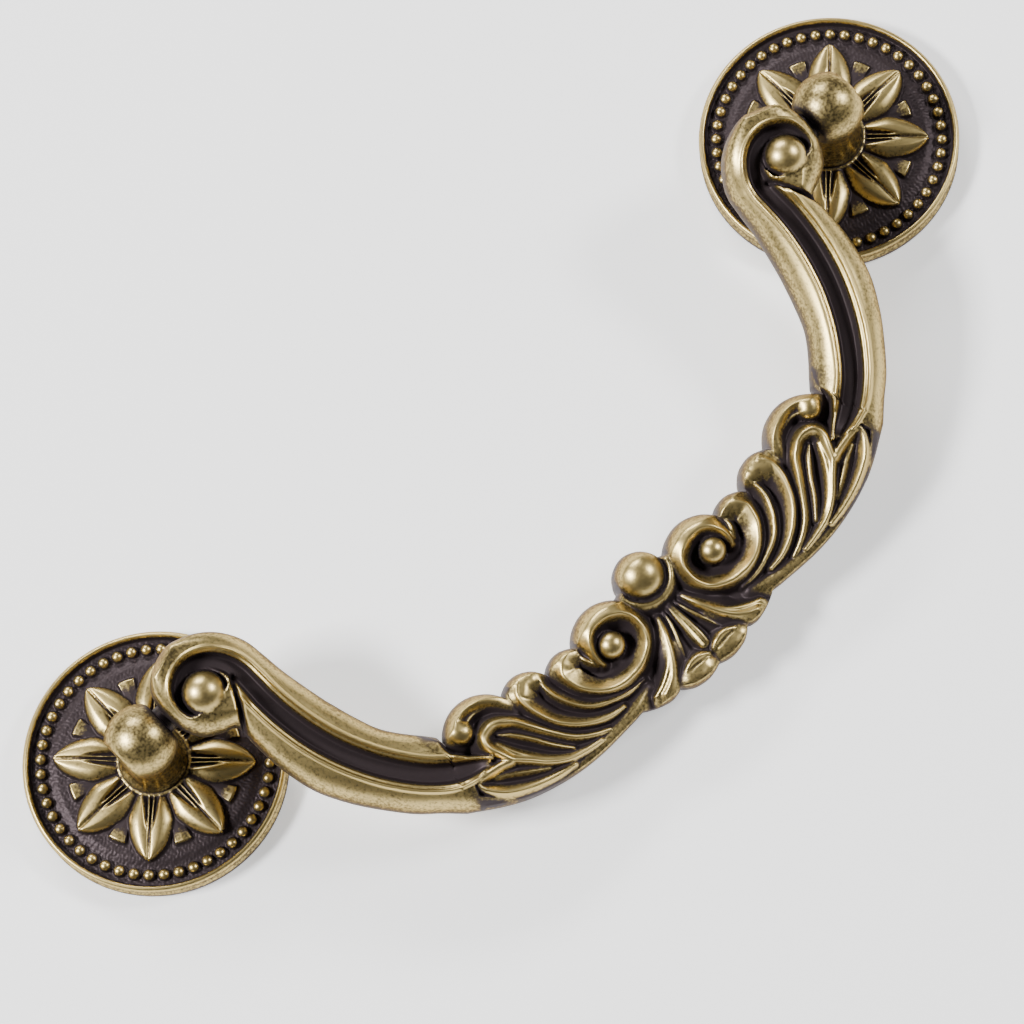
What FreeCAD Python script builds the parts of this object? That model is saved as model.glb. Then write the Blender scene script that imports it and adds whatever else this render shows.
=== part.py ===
"""Bail pull for a drawer: two flower rosettes, two posts and one cast bail that swings between them.

Frame: X runs along the two screw holes, Y points up the drawer front, Z points out of it.
The backs of the rosettes lie on Z = 0 and the origin is midway between the screw holes.
The bail is drawn in a frame of its own: U along X, V up its own plane from the pivot, W out of its
face. At rest it slopes back towards the drawer, so that the foot of its shell touches the drawer.
Lengths are millimetres and angles are degrees.
"""
import FreeCAD, Part
import math
import os

import Sketcher
from FreeCAD import Placement, Rotation, Vector

SHEET_NAME = "Sizes"
X_AXIS = Vector(1, 0, 0)
Y_AXIS = Vector(0, 1, 0)
Z_AXIS = Vector(0, 0, 1)
ORIGIN = Vector(0, 0, 0)
FULL_TURN = 360
HALF_TURN = 180
QUARTER_TURN = 90
PETAL_STEPS = 3
GROOVE_STEPS = 2
LEAF_STEPS = 4
SMALL_LEAF_STEPS = 2
FEWEST_CORNERS = 3
BEAD_SIDES = 4
# Round carving is turned in flats: at least so many in a full turn, and none longer than this
FEWEST_FLATS = 10
LONGEST_FLAT = 3.4
HEAD_FLAT = 1.6
# Angles at which a round form is broken into cones: bands, balls and the head of a post
BAND_ANGLES = (0, 60, 120, 180)
BALL_ANGLES = (0, 38, 68)
HEAD_ANGLES = (-42, -15, 12, 40, 68)
RIB_SIDES = (-1, 0, 1)

# Driving dimensions: name, value, what it is
SIZES = [
    ("hole_spacing", 128, "between the two screw holes"),
    ("pivot_height", 15, "from the drawer front to the pivot axis"),
    ("rest_slope", 13.5, "of the resting bail towards the drawer front"),
    # Rosette
    ("rosette_radius", 18.2, "to the outside of the rim"),
    ("rim_height", 3.6, "of the rim over the drawer front"),
    ("rim_width", 1.25, "of the bright raised rim"),
    ("channel_floor", 2.4, "height of the bead channel's floor"),
    ("channel_width", 2.2, "of the bead channel"),
    ("ground_height", 3.1, "height of the flower's ground"),
    ("hub_height", 3.7, "height of the disc on which the post stands"),
    ("hub_radius", 5.2, "of the disc on which the post stands"),
    ("bead_count", 48, "beads in the ring"),
    ("bead_radius", 0.76, "of one bead at its foot"),
    ("bead_height", 0.95, "of one bead over the channel's floor"),
    ("bead_crown", 0.5, "size of a bead's top as a share of its foot"),
    ("petal_count", 8, "large petals"),
    ("petal_start", 4.4, "radius where a petal springs from the hub"),
    ("petal_tip", 13.8, "radius of a petal's tip"),
    ("petal_half_width", 2.9, "half the width of a petal"),
    ("petal_height", 1.25, "of a petal over the ground"),
    ("petal_crown", 0.56, "size of a petal's top as a share of its foot"),
    ("petal_sinking", 0.6, "of the foot of petals and leaves into the ground"),
    ("petal_groove_half_width", 0.85, "half the width of the groove down a petal"),
    ("petal_groove_depth", 0.8, "of the groove down a petal"),
    ("petal_groove_margin", 1.5, "from a petal's ends to its groove"),
    ("vein_half_width", 0.24, "half the width of the rib in the groove"),
    ("vein_height", 0.5, "of the rib over the groove's floor"),
    ("leaf_start", 8.6, "radius where a small leaf appears between petals"),
    ("leaf_tip", 12.9, "radius of a small leaf's tip"),
    ("leaf_half_width", 1.5, "half the width of a small leaf"),
    ("leaf_height", 0.8, "of a small leaf over the ground"),
    ("leaf_crown", 0.6, "size of a small leaf's top as a share of its foot"),
    # Post
    ("head_radius", 4.95, "of the post's ball head"),
    ("flat_spacing", 7.5, "between the two flats of the head"),
    ("stem_radius", 3.7, "of the post's stem"),
    ("neck_drop", 3.2, "of the stem's top under the pivot axis"),
    ("foot_radius", 4.7, "of the collar at the stem's foot"),
    ("foot_height", 0.9, "of that collar"),
    ("spigot_radius", 3.0, "of the spigot through the rosette"),
    ("spigot_clearance", 0.05, "round the spigot"),
    ("screw_bore_radius", 1.65, "tapping bore of an M4 thread"),
    ("screw_bore_depth", 9.0, "of the tapped hole from the spigot's end"),
    ("pin_radius", 2.0, "of the bail's pin"),
    ("pin_clearance", 0.06, "round the pin"),
    ("pin_length", 4.4, "of the pin inside the head"),
    ("socket_end_clearance", 0.4, "past the end of the pin"),
    ("side_gap", 0.8, "between the scroll and the head's flat"),
    # Bail: arms
    ("bar_half_width", 5.1, "half the width of the arm's bar"),
    ("bar_back", 3.2, "depth of the bar's back under the pivot axis"),
    ("bar_top", 6.9, "height of the bar's front over the pivot axis"),
    ("bar_bevel", 1.7, "of the two bevels at the bar's back"),
    ("bar_shoulder", 2.4, "of the two bevels at the bar's front"),
    ("arm_inset", 3.45, "from the scroll's middle in to the bar's middle"),
    ("arm_radius", 36.5, "of the arm's curve, to the bar's middle"),
    ("arm_straight_foot", 5.0, "below the pivot, where the curve starts"),
    ("arm_sweep", 50, "angle of the arm's curve"),
    ("groove_half_width", 1.95, "half the width of the groove between its lips"),
    ("groove_floor_half_width", 1.0, "half the width of the groove's floor"),
    ("groove_depth", 2.3, "of the groove along the arm"),
    # Bail: scroll round the ball
    ("scroll_radius", 7.5, "of the scroll's disc"),
    ("scroll_drop", 0.6, "of the disc's middle under the pivot"),
    ("scroll_bevel", 2.2, "of the disc's edges"),
    ("curl_drop", 2.5, "of the middle of the groove's first turn"),
    ("curl_radius", 4.9, "of the groove's first turn"),
    ("curl_end_radius", 2.6, "of the groove's last turn"),
    ("curl_end_sweep", 138, "angle of the groove's last turn"),
    ("ball_radius", 3.05, "of the ball in the scroll"),
    ("ball_offset", 0.4, "of the ball from the middle of the turns"),
    ("ball_drop", 1.2, "of the ball's middle under the pivot"),
    ("ball_rise", 4.9, "of the ball's middle"),
    # Bail: plate and border that carry the ornament
    ("ornament_back", 4.2, "depth of the flat back under the pivot axis"),
    ("plate_top", 2.6, "height of the plate that carries the lobes"),
    ("border_reach", 17.5, "of the middle of the border's curve"),
    ("border_drop", 9.0, "of the middle of the border's curve"),
    ("border_radius", 32, "of the curve of the lower border"),
    ("border_tube", 2.6, "half the width of the lower border"),
    ("border_rise", 1.6, "of the lower border"),
    ("border_start", 258, "angle where the border begins at the shell"),
    ("border_sweep", 46, "angle of the border"),
    ("plate_inside", 22.3, "radius of the plate's upper edge"),
    ("plate_start", 239, "angle where the plate begins at the shell"),
    ("plate_sweep", 66, "angle of the plate"),
    # Bail: volute and the two lobes round it
    ("volute_reach", 9.3, "of the volute's eye from the middle"),
    ("volute_drop", 33.3, "of the volute's eye under the pivot"),
    ("volute_radius", 4.0, "of the volute's ring"),
    ("volute_tube", 1.6, "half the width of the volute's ring"),
    ("volute_rise", 4.2, "of the volute's ring"),
    ("eye_radius", 1.85, "of the ball in the volute"),
    ("eye_rise", 4.7, "of the ball in the volute"),
    ("lobe_tube", 1.5, "half the width of the bands of both lobes"),
    ("lobe_rise", 3.8, "of the bands and heads of both lobes"),
    ("inner_lobe_radius", 6.9, "of the band next to the volute"),
    ("inner_lobe_start", 260, "angle where that band leaves the border"),
    ("inner_lobe_sweep", 117, "angle of that band"),
    ("inner_head_radius", 2.05, "of that band's round head"),
    ("outer_lobe_shift", 1.2, "of the second band's middle outwards"),
    ("outer_lobe_lift", 2.1, "of the second band's middle upwards"),
    ("outer_lobe_radius", 11.0, "of the second band"),
    ("outer_lobe_start", 272, "angle where the second band leaves the border"),
    ("outer_lobe_sweep", 94, "angle of the second band"),
    ("outer_head_radius", 2.3, "of the second band's round head"),
    # Bail: hook and leaves where the arm comes in, placed from the end of the arm
    ("hook_inset", 5.7, "from the arm's end in to the hook's middle"),
    ("hook_lift", 2.7, "from the arm's end up to the hook's middle"),
    ("hook_radius", 3.5, "of the hook's band"),
    ("hook_tube", 1.7, "half the width of the hook's band"),
    ("hook_rise", 4.0, "of the hook's band"),
    ("hook_start", 8, "angle where the hook's band ends in its ball"),
    ("hook_sweep", 170, "angle of the hook's band"),
    ("hook_ball_radius", 1.95, "of the ball at the hook's end"),
    ("frond_crown", 0.5, "size of a frond's top as a share of its foot"),
    ("upper_frond_inset", 4.0, "from the arm's end in to the upper frond's tip"),
    ("upper_frond_lift", 1.0, "from the arm's end up to the upper frond's tip"),
    ("upper_frond_length", 17.0, "of the upper frond"),
    ("upper_frond_half_width", 2.9, "half the width of the upper frond"),
    ("upper_frond_heading", 213, "direction in which the upper frond runs back"),
    ("upper_frond_top", 6.0, "height of the upper frond"),
    ("lower_frond_reach", 1.4, "from the arm's end out to the lower frond's tip"),
    ("lower_frond_drop", 3.0, "from the arm's end down to the lower frond's tip"),
    ("lower_frond_length", 15.0, "of the lower frond"),
    ("lower_frond_half_width", 2.5, "half the width of the lower frond"),
    ("lower_frond_heading", 203, "direction in which the lower frond runs back"),
    ("lower_frond_top", 5.2, "height of the lower frond"),
    # Bail: ball and shell at the middle
    ("middle_ball_radius", 3.5, "of the ball at the middle"),
    ("middle_ball_drop", 29.4, "of that ball under the pivot"),
    ("middle_ball_rise", 3.3, "of that ball"),
    ("crescent_radius", 4.4, "of the crescent under that ball"),
    ("crescent_tube", 1.1, "half the width of the crescent"),
    ("crescent_rise", 2.8, "of the crescent"),
    ("crescent_start", 205, "angle where the crescent begins"),
    ("crescent_sweep", 130, "angle of the crescent"),
    ("shell_drop", 37.0, "of the shell's middle"),
    ("shell_radius", 8.2, "of the shell"),
    ("shell_top", 2.2, "height of the shell's ground"),
    ("rib_drop", 34.4, "of the ribs' upper ends"),
    ("rib_length", 9.0, "of a rib"),
    ("rib_half_width", 1.25, "half the width of a rib"),
    ("rib_top", 3.6, "height of the ribs"),
    ("rib_crown", 0.45, "size of a rib's top as a share of its foot"),
    ("rib_spread", 19, "angle between two ribs"),
    ("rib_spacing", 1.5, "between the upper ends of two ribs"),
    ("shell_band_reach", 12.5, "of the middle of the shell's side band"),
    ("shell_band_drop", 33.5, "of the middle of the shell's side band"),
    ("shell_band_radius", 10.2, "of the shell's side band"),
    ("shell_band_start", 195, "angle where the side band begins"),
    ("shell_band_sweep", 50, "angle of the side band"),
    ("shell_band_rise", 2.5, "of the shell's side band"),
    ("shell_foot_reach", 2.7, "of the small lobes at the foot"),
    ("shell_foot_drop", 43.4, "of the small lobes at the foot"),
    ("shell_foot_radius", 2.6, "of the small lobes at the foot"),
    ("shell_foot_rise", 1.5, "of the small lobes at the foot"),
]


class Size:
    """A length or angle that knows its value and the expression that drives it."""

    def __init__(self, value, text):
        self.value = value
        self.text = text

    def _join(self, other, sign, swapped=False):
        other = other if isinstance(other, Size) else Size(other, repr(other))
        left, right = (other, self) if swapped else (self, other)
        value = {
            "+": left.value + right.value,
            "-": left.value - right.value,
            "*": left.value * right.value,
            "/": left.value / (right.value or 1),
        }[sign]
        return Size(value, f"({left.text} {sign} {right.text})")

    def __add__(self, other):
        return self._join(other, "+")

    def __radd__(self, other):
        return self._join(other, "+", True)

    def __sub__(self, other):
        return self._join(other, "-")

    def __rsub__(self, other):
        return self._join(other, "-", True)

    def __mul__(self, other):
        return self._join(other, "*")

    def __rmul__(self, other):
        return self._join(other, "*", True)

    def __truediv__(self, other):
        return self._join(other, "/")

    def __rtruediv__(self, other):
        return self._join(other, "/", True)

    def __neg__(self):
        return self._join(-1, "*")

    def cosine(self):
        return Size(math.cos(math.radians(self.value)), f"cos({self.text})")

    def sine(self):
        return Size(math.sin(math.radians(self.value)), f"sin({self.text})")


class Sizes:
    """The driving dimensions, kept in the document's spreadsheet and read by name."""

    def __init__(self, document):
        self.sheet = document.addObject("Spreadsheet::Sheet", SHEET_NAME)
        self.values = {}
        for row, (name, value, meaning) in enumerate(SIZES, start=1):
            self.sheet.set(f"A{row}", meaning)
            self.sheet.set(f"B{row}", str(value))
            self.sheet.setAlias(f"B{row}", name)
            self.values[name] = value
        document.recompute()

    def __getattr__(self, name):
        return Size(self.values[name], f"{SHEET_NAME}.{name}")


def bind(item, **properties):
    """Drive each named property of an object by a size; __ in a name stands for a dot."""
    for name, size in properties.items():
        path = name.replace("__", ".")
        if isinstance(size, Size):
            item.setExpression(path, size.text)
        else:
            setattr(item, path, size)


def origin_plane(body, role):
    """The body's own origin plane with the given role."""
    return next(part for part in body.Origin.OriginFeatures if part.Role == role)


def drawn_polygon(body, name, role, corners):
    """A closed sketch of straight edges in a body, every corner held by its two driven distances."""
    sketch = body.newObject("Sketcher::SketchObject", name)
    sketch.AttachmentSupport = [(origin_plane(body, role), "")]
    sketch.MapMode = "FlatFace"
    constrain(sketch, corners)
    return sketch


def constrain(sketch, corners):
    """Draw a closed outline in a sketch and tie each of its corners to sizes."""
    points = [Vector(x.value, y.value, 0) for x, y in corners]
    edges = [Part.LineSegment(a, b) for a, b in zip(points, points[1:] + points[:1])]
    sketch.addGeometry(edges, False)
    for index, corner in enumerate(corners):
        following = (index + 1) % len(corners)
        sketch.addConstraint(Sketcher.Constraint("Coincident", index, 2, following, 1))
        for kind, size, axis in (("DistanceX", corner[0], -2), ("DistanceY", corner[1], -1)):
            if size.value == 0:
                sketch.addConstraint(Sketcher.Constraint("PointOnObject", index, 1, axis))
            else:
                datum = Sketcher.Constraint(kind, -1, 1, index, 1, size.value)
                number = sketch.addConstraint(datum)
                sketch.setExpression(f"Constraints[{number}]", size.text)


def rosette(document, size):
    """The cast back plate: rim, beaded channel, eight petals and eight small leaves."""
    body = document.addObject("PartDesign::Body", "rosette_plate")
    bore = size.spigot_radius + size.spigot_clearance
    rim_inside = size.rosette_radius - size.rim_width
    channel_inside = rim_inside - size.channel_width
    zero = Size(0, "0")
    profile = drawn_polygon(
        body,
        "rosette_profile",
        "XZ_Plane",
        [
            (bore, zero),
            (size.rosette_radius, zero),
            (size.rosette_radius, size.rim_height),
            (rim_inside, size.rim_height),
            (rim_inside, size.channel_floor),
            (channel_inside, size.channel_floor),
            (channel_inside, size.ground_height),
            (size.hub_radius, size.ground_height),
            (size.hub_radius, size.hub_height),
            (bore, size.hub_height),
        ],
    )
    turning = body.newObject("PartDesign::Revolution", "rosette_turning")
    turning.Profile = profile
    turning.ReferenceAxis = (profile, ["V_Axis"])
    turning.Angle = FULL_TURN
    document.recompute()

    foot = size.ground_height - size.petal_sinking
    petal_top = size.ground_height + size.petal_height
    leaf_top = size.ground_height + size.leaf_height
    groove_floor = petal_top - size.petal_groove_depth
    vein_start = size.petal_start + size.petal_groove_margin
    vein_tip = size.petal_tip - size.petal_groove_margin
    petal = crowned_lens(
        (size.petal_start, size.petal_tip, size.petal_half_width),
        (foot, petal_top, size.petal_crown),
        PETAL_STEPS,
    )
    groove = crowned_lens(
        (vein_start, vein_tip, size.petal_groove_half_width),
        (petal_top + size.petal_groove_depth, groove_floor, size.petal_crown),
        GROOVE_STEPS,
    )
    vein = crowned_lens(
        (vein_start, vein_tip, size.vein_half_width),
        (groove_floor - size.vein_height, groove_floor + size.vein_height, size.petal_crown),
        SMALL_LEAF_STEPS,
    )
    leaf = crowned_lens(
        (size.leaf_start, size.leaf_tip, size.leaf_half_width),
        (foot, leaf_top, size.leaf_crown),
        SMALL_LEAF_STEPS,
    )
    leaf.rotate(ORIGIN, Z_AXIS, HALF_TURN / size.petal_count.value)
    bead_middle = Vector((rim_inside - size.channel_width / 2).value, 0, size.channel_floor.value)
    bead = faceted_dome(bead_middle, size.bead_radius.value, size.bead_height.value, size.bead_crown.value)
    petals = shown(document, "petals", ring([petal.cut(groove).fuse(vein), leaf], size.petal_count))
    beads = shown(document, "beads", ring([bead], size.bead_count))
    whole = fused(document, "rosette_right", [body, petals, beads])
    bind(whole, Placement__Base__x=size.hole_spacing / 2)
    return whole


def shown(document, name, shape):
    """An object of the document that holds a shape worked out here."""
    item = document.addObject("Part::Feature", name)
    item.Shape = shape
    return item


def ring(shapes, count):
    """Copies of shapes spaced evenly round the Z axis."""
    copies = []
    for index in range(count.value):
        for shape in shapes:
            copy = shape.copy()
            copy.rotate(ORIGIN, Z_AXIS, FULL_TURN * index / count.value)
            copies.append(copy)
    return Part.makeCompound(copies)


def faceted(low, high):
    """A solid of flat facets between two outlines of a like shape, each at its own height."""
    faces = [Part.Face(Part.makePolygon(outline + outline[:1])) for outline in (low, high)]
    for index in range(len(low)):
        following = (index + 1) % len(low)
        corners = [low[index], low[following], high[following], high[index], low[index]]
        faces.append(Part.Face(Part.makePolygon(corners)))
    solid = Part.makeSolid(Part.makeShell(faces))
    if solid.Volume < 0:
        solid.reverse()
    return solid


def lens(start, tip, half_width, height, steps):
    """Corners of a pointed oval along X: its half width follows a parabola from start to tip."""
    shares = [step / steps for step in range(steps + 1)]
    reach = [(start + (tip - start) * share, half_width * 4 * share * (1 - share)) for share in shares]
    upper = [Vector(x, y, height) for x, y in reach]
    lower = [Vector(x, -y, height) for x, y in reversed(reach[1:-1])]
    return upper + lower


def crowned_lens(ends, heights, steps):
    """A pointed oval that narrows evenly from its foot to a crown of a like outline."""
    start, tip, half_width = (size.value for size in ends)
    foot, top, crown = (size.value for size in heights)
    inset = (tip - start) * (1 - crown) / 2
    low = lens(start, tip, half_width, foot, steps)
    high = lens(start + inset, tip - inset, half_width * crown, top, steps)
    return faceted(low, high)


def faceted_dome(middle, radius, height, crown):
    """A bead in flats that narrows from its foot to its crown."""
    turns = [math.radians(FULL_TURN * (side + 0.5) / BEAD_SIDES) for side in range(BEAD_SIDES)]
    spokes = [Vector(math.cos(turn), math.sin(turn), 0) for turn in turns]
    foot = [middle + spoke * radius for spoke in spokes]
    top = [middle + spoke * (radius * crown) + Z_AXIS * height for spoke in spokes]
    return faceted(foot, top)


def post(document, size):
    """The turned post: spigot, collar, stem and a ball head with two flats and a socket for the pin."""
    zero = Size(0, "0")
    collar_top = size.hub_height + size.foot_height
    stem_top = size.pivot_height - size.neck_drop
    outline = [
        (zero, zero),
        (size.spigot_radius, zero),
        (size.spigot_radius, size.hub_height),
        (size.foot_radius, size.hub_height),
        (size.foot_radius, collar_top),
        (size.stem_radius, collar_top),
        (size.stem_radius, stem_top),
        (zero, stem_top),
    ]
    middle = (zero, zero)
    corners = round_corners(zero, size.pivot_height, size.head_radius, HEAD_ANGLES)
    ball_outline = [(zero, corners[0][1])] + corners + [(zero, corners[-1][1])]
    blank = fused(
        document,
        "post_blank",
        [
            turned(document, "post_stem", middle, outline),
            turned_in_flats(document, "post_head", middle, ball_outline, longest=HEAD_FLAT),
        ],
    )
    width = size.head_radius * 2
    tools = []
    flats = {
        "inner_flat": -(size.flat_spacing / 2 + size.head_radius),
        "outer_flat": size.flat_spacing / 2,
    }
    for name, edge in flats.items():
        corner = (edge, -size.head_radius, size.pivot_height - size.head_radius)
        tools.append(
            primitive(document, "Box", name, corner, Length=size.head_radius, Width=width, Height=width)
        )
    socket = primitive(
        document,
        "Cylinder",
        "pin_socket",
        (-(size.flat_spacing / 2), zero, size.pivot_height),
        Radius=size.pin_radius + size.pin_clearance,
        Height=size.pin_length + size.socket_end_clearance,
    )
    socket.Placement = Placement(socket.Placement.Base, Rotation(Y_AXIS, QUARTER_TURN))
    bore = primitive(
        document,
        "Cylinder",
        "screw_bore",
        (zero, zero, zero),
        Radius=size.screw_bore_radius,
        Height=size.screw_bore_depth,
    )
    whole = document.addObject("Part::Cut", "post_right")
    whole.Base = blank
    whole.Tool = fused(document, "post_cuts", tools + [socket, bore])
    bind(whole, Placement__Base__x=size.hole_spacing / 2)
    return whole


def place(item, middle):
    """Tie an object's position to three sizes."""
    for letter, value in zip("xyz", middle):
        bind(item, **{f"Placement__Base__{letter}": value})


def primitive(document, kind, name, middle, **properties):
    """A Part primitive at a driven position of the bail's frame."""
    item = document.addObject(f"Part::{kind}", name)
    place(item, middle)
    bind(item, **properties)
    return item


def round_corners(middle, rise, radius, angles):
    """Corners on an arc round a middle at a radius and a height, one at each angle."""
    return [
        (
            middle + radius * math.cos(math.radians(angle)),
            rise + radius * math.sin(math.radians(angle)),
        )
        for angle in angles
    ]


def turned(document, name, middle, outline, turn=None):
    """An outline of radii and heights turned round an upright axis: all round, or from a start
    angle through a sweep."""
    sketch = document.addObject("Sketcher::SketchObject", f"{name}_outline")
    sketch.Placement = Placement(ORIGIN, Rotation(X_AXIS, QUARTER_TURN))
    constrain(sketch, outline)
    item = document.addObject("Part::Revolution", name)
    item.Source = sketch
    item.Axis = Z_AXIS
    item.Solid = True
    item.Angle = FULL_TURN
    place(item, (middle[0], middle[1], Size(0, "0")))
    if turn is not None:
        bind(item, Angle=turn[1], Placement__Rotation__Angle=turn[0])
    return item


def turned_in_flats(document, name, middle, outline, turn=None, longest=LONGEST_FLAT):
    """An outline of radii and heights turned round an upright axis in flats."""
    corners = [(radius.value, height.value) for radius, height in outline]
    start, sweep = (turn[0].value, turn[1].value) if turn else (0, FULL_TURN)
    reach = math.radians(sweep) * max(radius for radius, height in corners)
    count = math.ceil(max(FEWEST_FLATS * sweep / FULL_TURN, reach / longest))
    stations = []
    for index in range(count + 1):
        angle = math.radians(start + sweep * index / count)
        stations.append([Vector(r * math.cos(angle), r * math.sin(angle), z) for r, z in corners])
    if turn is None:
        stations[-1] = stations[0]
        walls = []
    else:
        walls = [stations[0], stations[-1]]
    for near, far in zip(stations, stations[1:]):
        for index in range(len(corners)):
            following = (index + 1) % len(corners)
            loop = [near[index], near[following], far[following], far[index]]
            wall = [point for place, point in enumerate(loop) if point != loop[place - 1]]
            if len(wall) >= FEWEST_CORNERS:
                walls.append(wall)
    faces = [Part.Face(Part.makePolygon(wall + wall[:1])) for wall in walls]
    solid = Part.makeSolid(Part.makeShell(faces)).removeSplitter()
    if solid.Volume < 0:
        solid.reverse()
    solid.translate(Vector(middle[0].value, middle[1].value, 0))
    return shown(document, name, solid)


def band(document, name, middle, radius, width, rise, back, turn):
    """A rounded band on a wall that goes down to the back, along an arc."""
    corners = round_corners(radius, rise, width, BAND_ANGLES)
    outline = [(radius - width, -back), (radius + width, -back)] + corners
    return turned_in_flats(document, name, middle, outline, turn)


def knob(document, name, middle, radius, rise, back):
    """A round head on a wall that goes down to the back."""
    zero = Size(0, "0")
    corners = round_corners(zero, rise, radius, BALL_ANGLES)
    outline = [(zero, -back), (radius, -back)] + corners + [(zero, corners[-1][1])]
    return turned_in_flats(document, name, middle, outline)


def on_arc(middle, radius, angle):
    """The point of an arc at an angle."""
    return (middle[0] + radius * angle.cosine(), middle[1] + radius * angle.sine())


def frond(document, name, tip, heading, ends, heights):
    """A pointed, crowned leaf that runs back from its tip along a heading."""
    shape = crowned_lens(ends, heights, LEAF_STEPS)
    shape.rotate(ORIGIN, Z_AXIS, heading.value)
    shape.translate(Vector(tip[0].value, tip[1].value, 0))
    return shown(document, name, shape)


def fused(document, name, pieces):
    """One solid from pieces that overlap."""
    item = document.addObject("Part::MultiFuse", name)
    item.Shapes = pieces
    return item


def mirrored(document, name, piece):
    """The same piece on the other side of the middle."""
    item = document.addObject("Part::Mirroring", name)
    item.Source = piece
    item.Normal = X_AXIS
    return item


def arm_places(size):
    """Where the bar of the right arm stands at the pivot, and where its curve ends."""
    scroll = size.hole_spacing / 2 - size.flat_spacing / 2 - size.side_gap - size.scroll_radius
    reach = scroll - size.arm_inset
    bend = (reach - size.arm_radius, -size.arm_straight_foot)
    return scroll, reach, on_arc(bend, size.arm_radius, -size.arm_sweep)


def bar_section(size, middle, half_only=False):
    """Outline of the arm's bar about a middle line, or only the outer half of it."""
    side = size.bar_half_width
    outer = [
        (middle + side - size.bar_bevel, -size.bar_back),
        (middle + side, size.bar_bevel - size.bar_back),
        (middle + side, size.bar_top - size.bar_shoulder),
        (middle + side - size.bar_shoulder, size.bar_top),
    ]
    if half_only:
        return [(middle, -size.bar_back)] + outer + [(middle, size.bar_top)]
    inner = [
        (middle - side + size.bar_shoulder, size.bar_top),
        (middle - side, size.bar_top - size.bar_shoulder),
        (middle - side, size.bar_bevel - size.bar_back),
        (middle - side + size.bar_bevel, -size.bar_back),
    ]
    return outer + inner


def groove_section(size, middle):
    """Outline of the tool that cuts the groove, about a middle line."""
    lip, floor = size.groove_half_width, size.groove_floor_half_width
    bottom = size.bar_top - size.groove_depth
    above = size.bar_top + size.groove_depth
    return [
        (middle - floor, bottom),
        (middle + floor, bottom),
        (middle + lip, size.bar_top),
        (middle + lip, above),
        (middle - lip, above),
        (middle - lip, size.bar_top),
    ]


def pushed(document, name, middle, outline, length):
    """A section pushed up the bail's plane from a height."""
    sketch = document.addObject("Sketcher::SketchObject", f"{name}_outline")
    sketch.Placement = Placement(ORIGIN, Rotation(X_AXIS, QUARTER_TURN))
    constrain(sketch, outline)
    item = document.addObject("Part::Extrusion", name)
    item.Base = sketch
    item.DirMode = "Custom"
    item.Dir = Y_AXIS
    item.Solid = True
    bind(item, LengthFwd=length)
    place(item, (middle[0], middle[1], Size(0, "0")))
    return item


def arm(document, size):
    """The right arm: a grooved bar from the ornament up into the scroll, with its ball and pin."""
    zero = Size(0, "0")
    scroll, reach, end = arm_places(size)
    foot = -size.arm_straight_foot
    bend = (reach - size.arm_radius, foot)
    turn = (-size.arm_sweep, size.arm_sweep)
    bevel, radius = size.scroll_bevel, size.scroll_radius
    disc = [
        (zero, -size.bar_back),
        (radius - bevel, -size.bar_back),
        (radius, bevel - size.bar_back),
        (radius, size.bar_top - bevel),
        (radius - bevel, size.bar_top),
        (zero, size.bar_top),
    ]
    rise = size.arm_straight_foot - size.scroll_drop
    bar = fused(
        document,
        "arm_bar",
        [
            turned(document, "arm_curve", bend, bar_section(size, size.arm_radius), turn),
            turned_in_flats(document, "arm_end", end, bar_section(size, zero, True)),
            pushed(document, "arm_straight", (reach, foot), bar_section(size, zero), rise),
            turned_in_flats(document, "scroll_disc", (scroll, -size.scroll_drop), disc),
        ],
    )
    curl = (reach + size.curl_radius, -size.curl_drop)
    curl_end = (curl[0], curl[1] + size.curl_radius - size.curl_end_radius)
    quarter = Size(QUARTER_TURN, repr(QUARTER_TURN))
    end_turn = (quarter - size.curl_end_sweep, size.curl_end_sweep)
    run = size.arm_straight_foot - size.curl_drop
    groove = fused(
        document,
        "arm_groove",
        [
            turned(document, "groove_curve", bend, groove_section(size, size.arm_radius), turn),
            pushed(document, "groove_straight", (reach, foot), groove_section(size, zero), run),
            turned(document, "groove_curl", curl, groove_section(size, size.curl_radius), (quarter, quarter)),
            turned(
                document, "groove_curl_end", curl_end, groove_section(size, size.curl_end_radius), end_turn
            ),
        ],
    )
    grooved = document.addObject("Part::Cut", "arm_grooved")
    grooved.Base = bar
    grooved.Tool = groove
    length = size.scroll_radius + size.side_gap + size.pin_length
    pin = primitive(document, "Cylinder", "pin", (scroll, zero, zero), Radius=size.pin_radius, Height=length)
    pin.Placement = Placement(pin.Placement.Base, Rotation(Y_AXIS, QUARTER_TURN))
    middle = (curl[0] + size.ball_offset, -size.ball_drop)
    scroll_ball = knob(document, "scroll_ball", middle, size.ball_radius, size.ball_rise, size.bar_back)
    return [grooved, pin, scroll_ball]


def plate_and_border(document, size):
    """The curved plate that joins the lobes, with the rounded border along its lower edge."""
    middle = (size.border_reach, -size.border_drop)
    outline = [
        (size.plate_inside, -size.ornament_back),
        (size.border_radius, -size.ornament_back),
        (size.border_radius, size.plate_top),
        (size.plate_inside, size.plate_top),
    ]
    plate = turned(document, "ornament_plate", middle, outline, (size.plate_start, size.plate_sweep))
    turn = (size.border_start, size.border_sweep)
    border = band(
        document,
        "border",
        middle,
        size.border_radius,
        size.border_tube,
        size.border_rise,
        size.ornament_back,
        turn,
    )
    return [plate, border]


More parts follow.
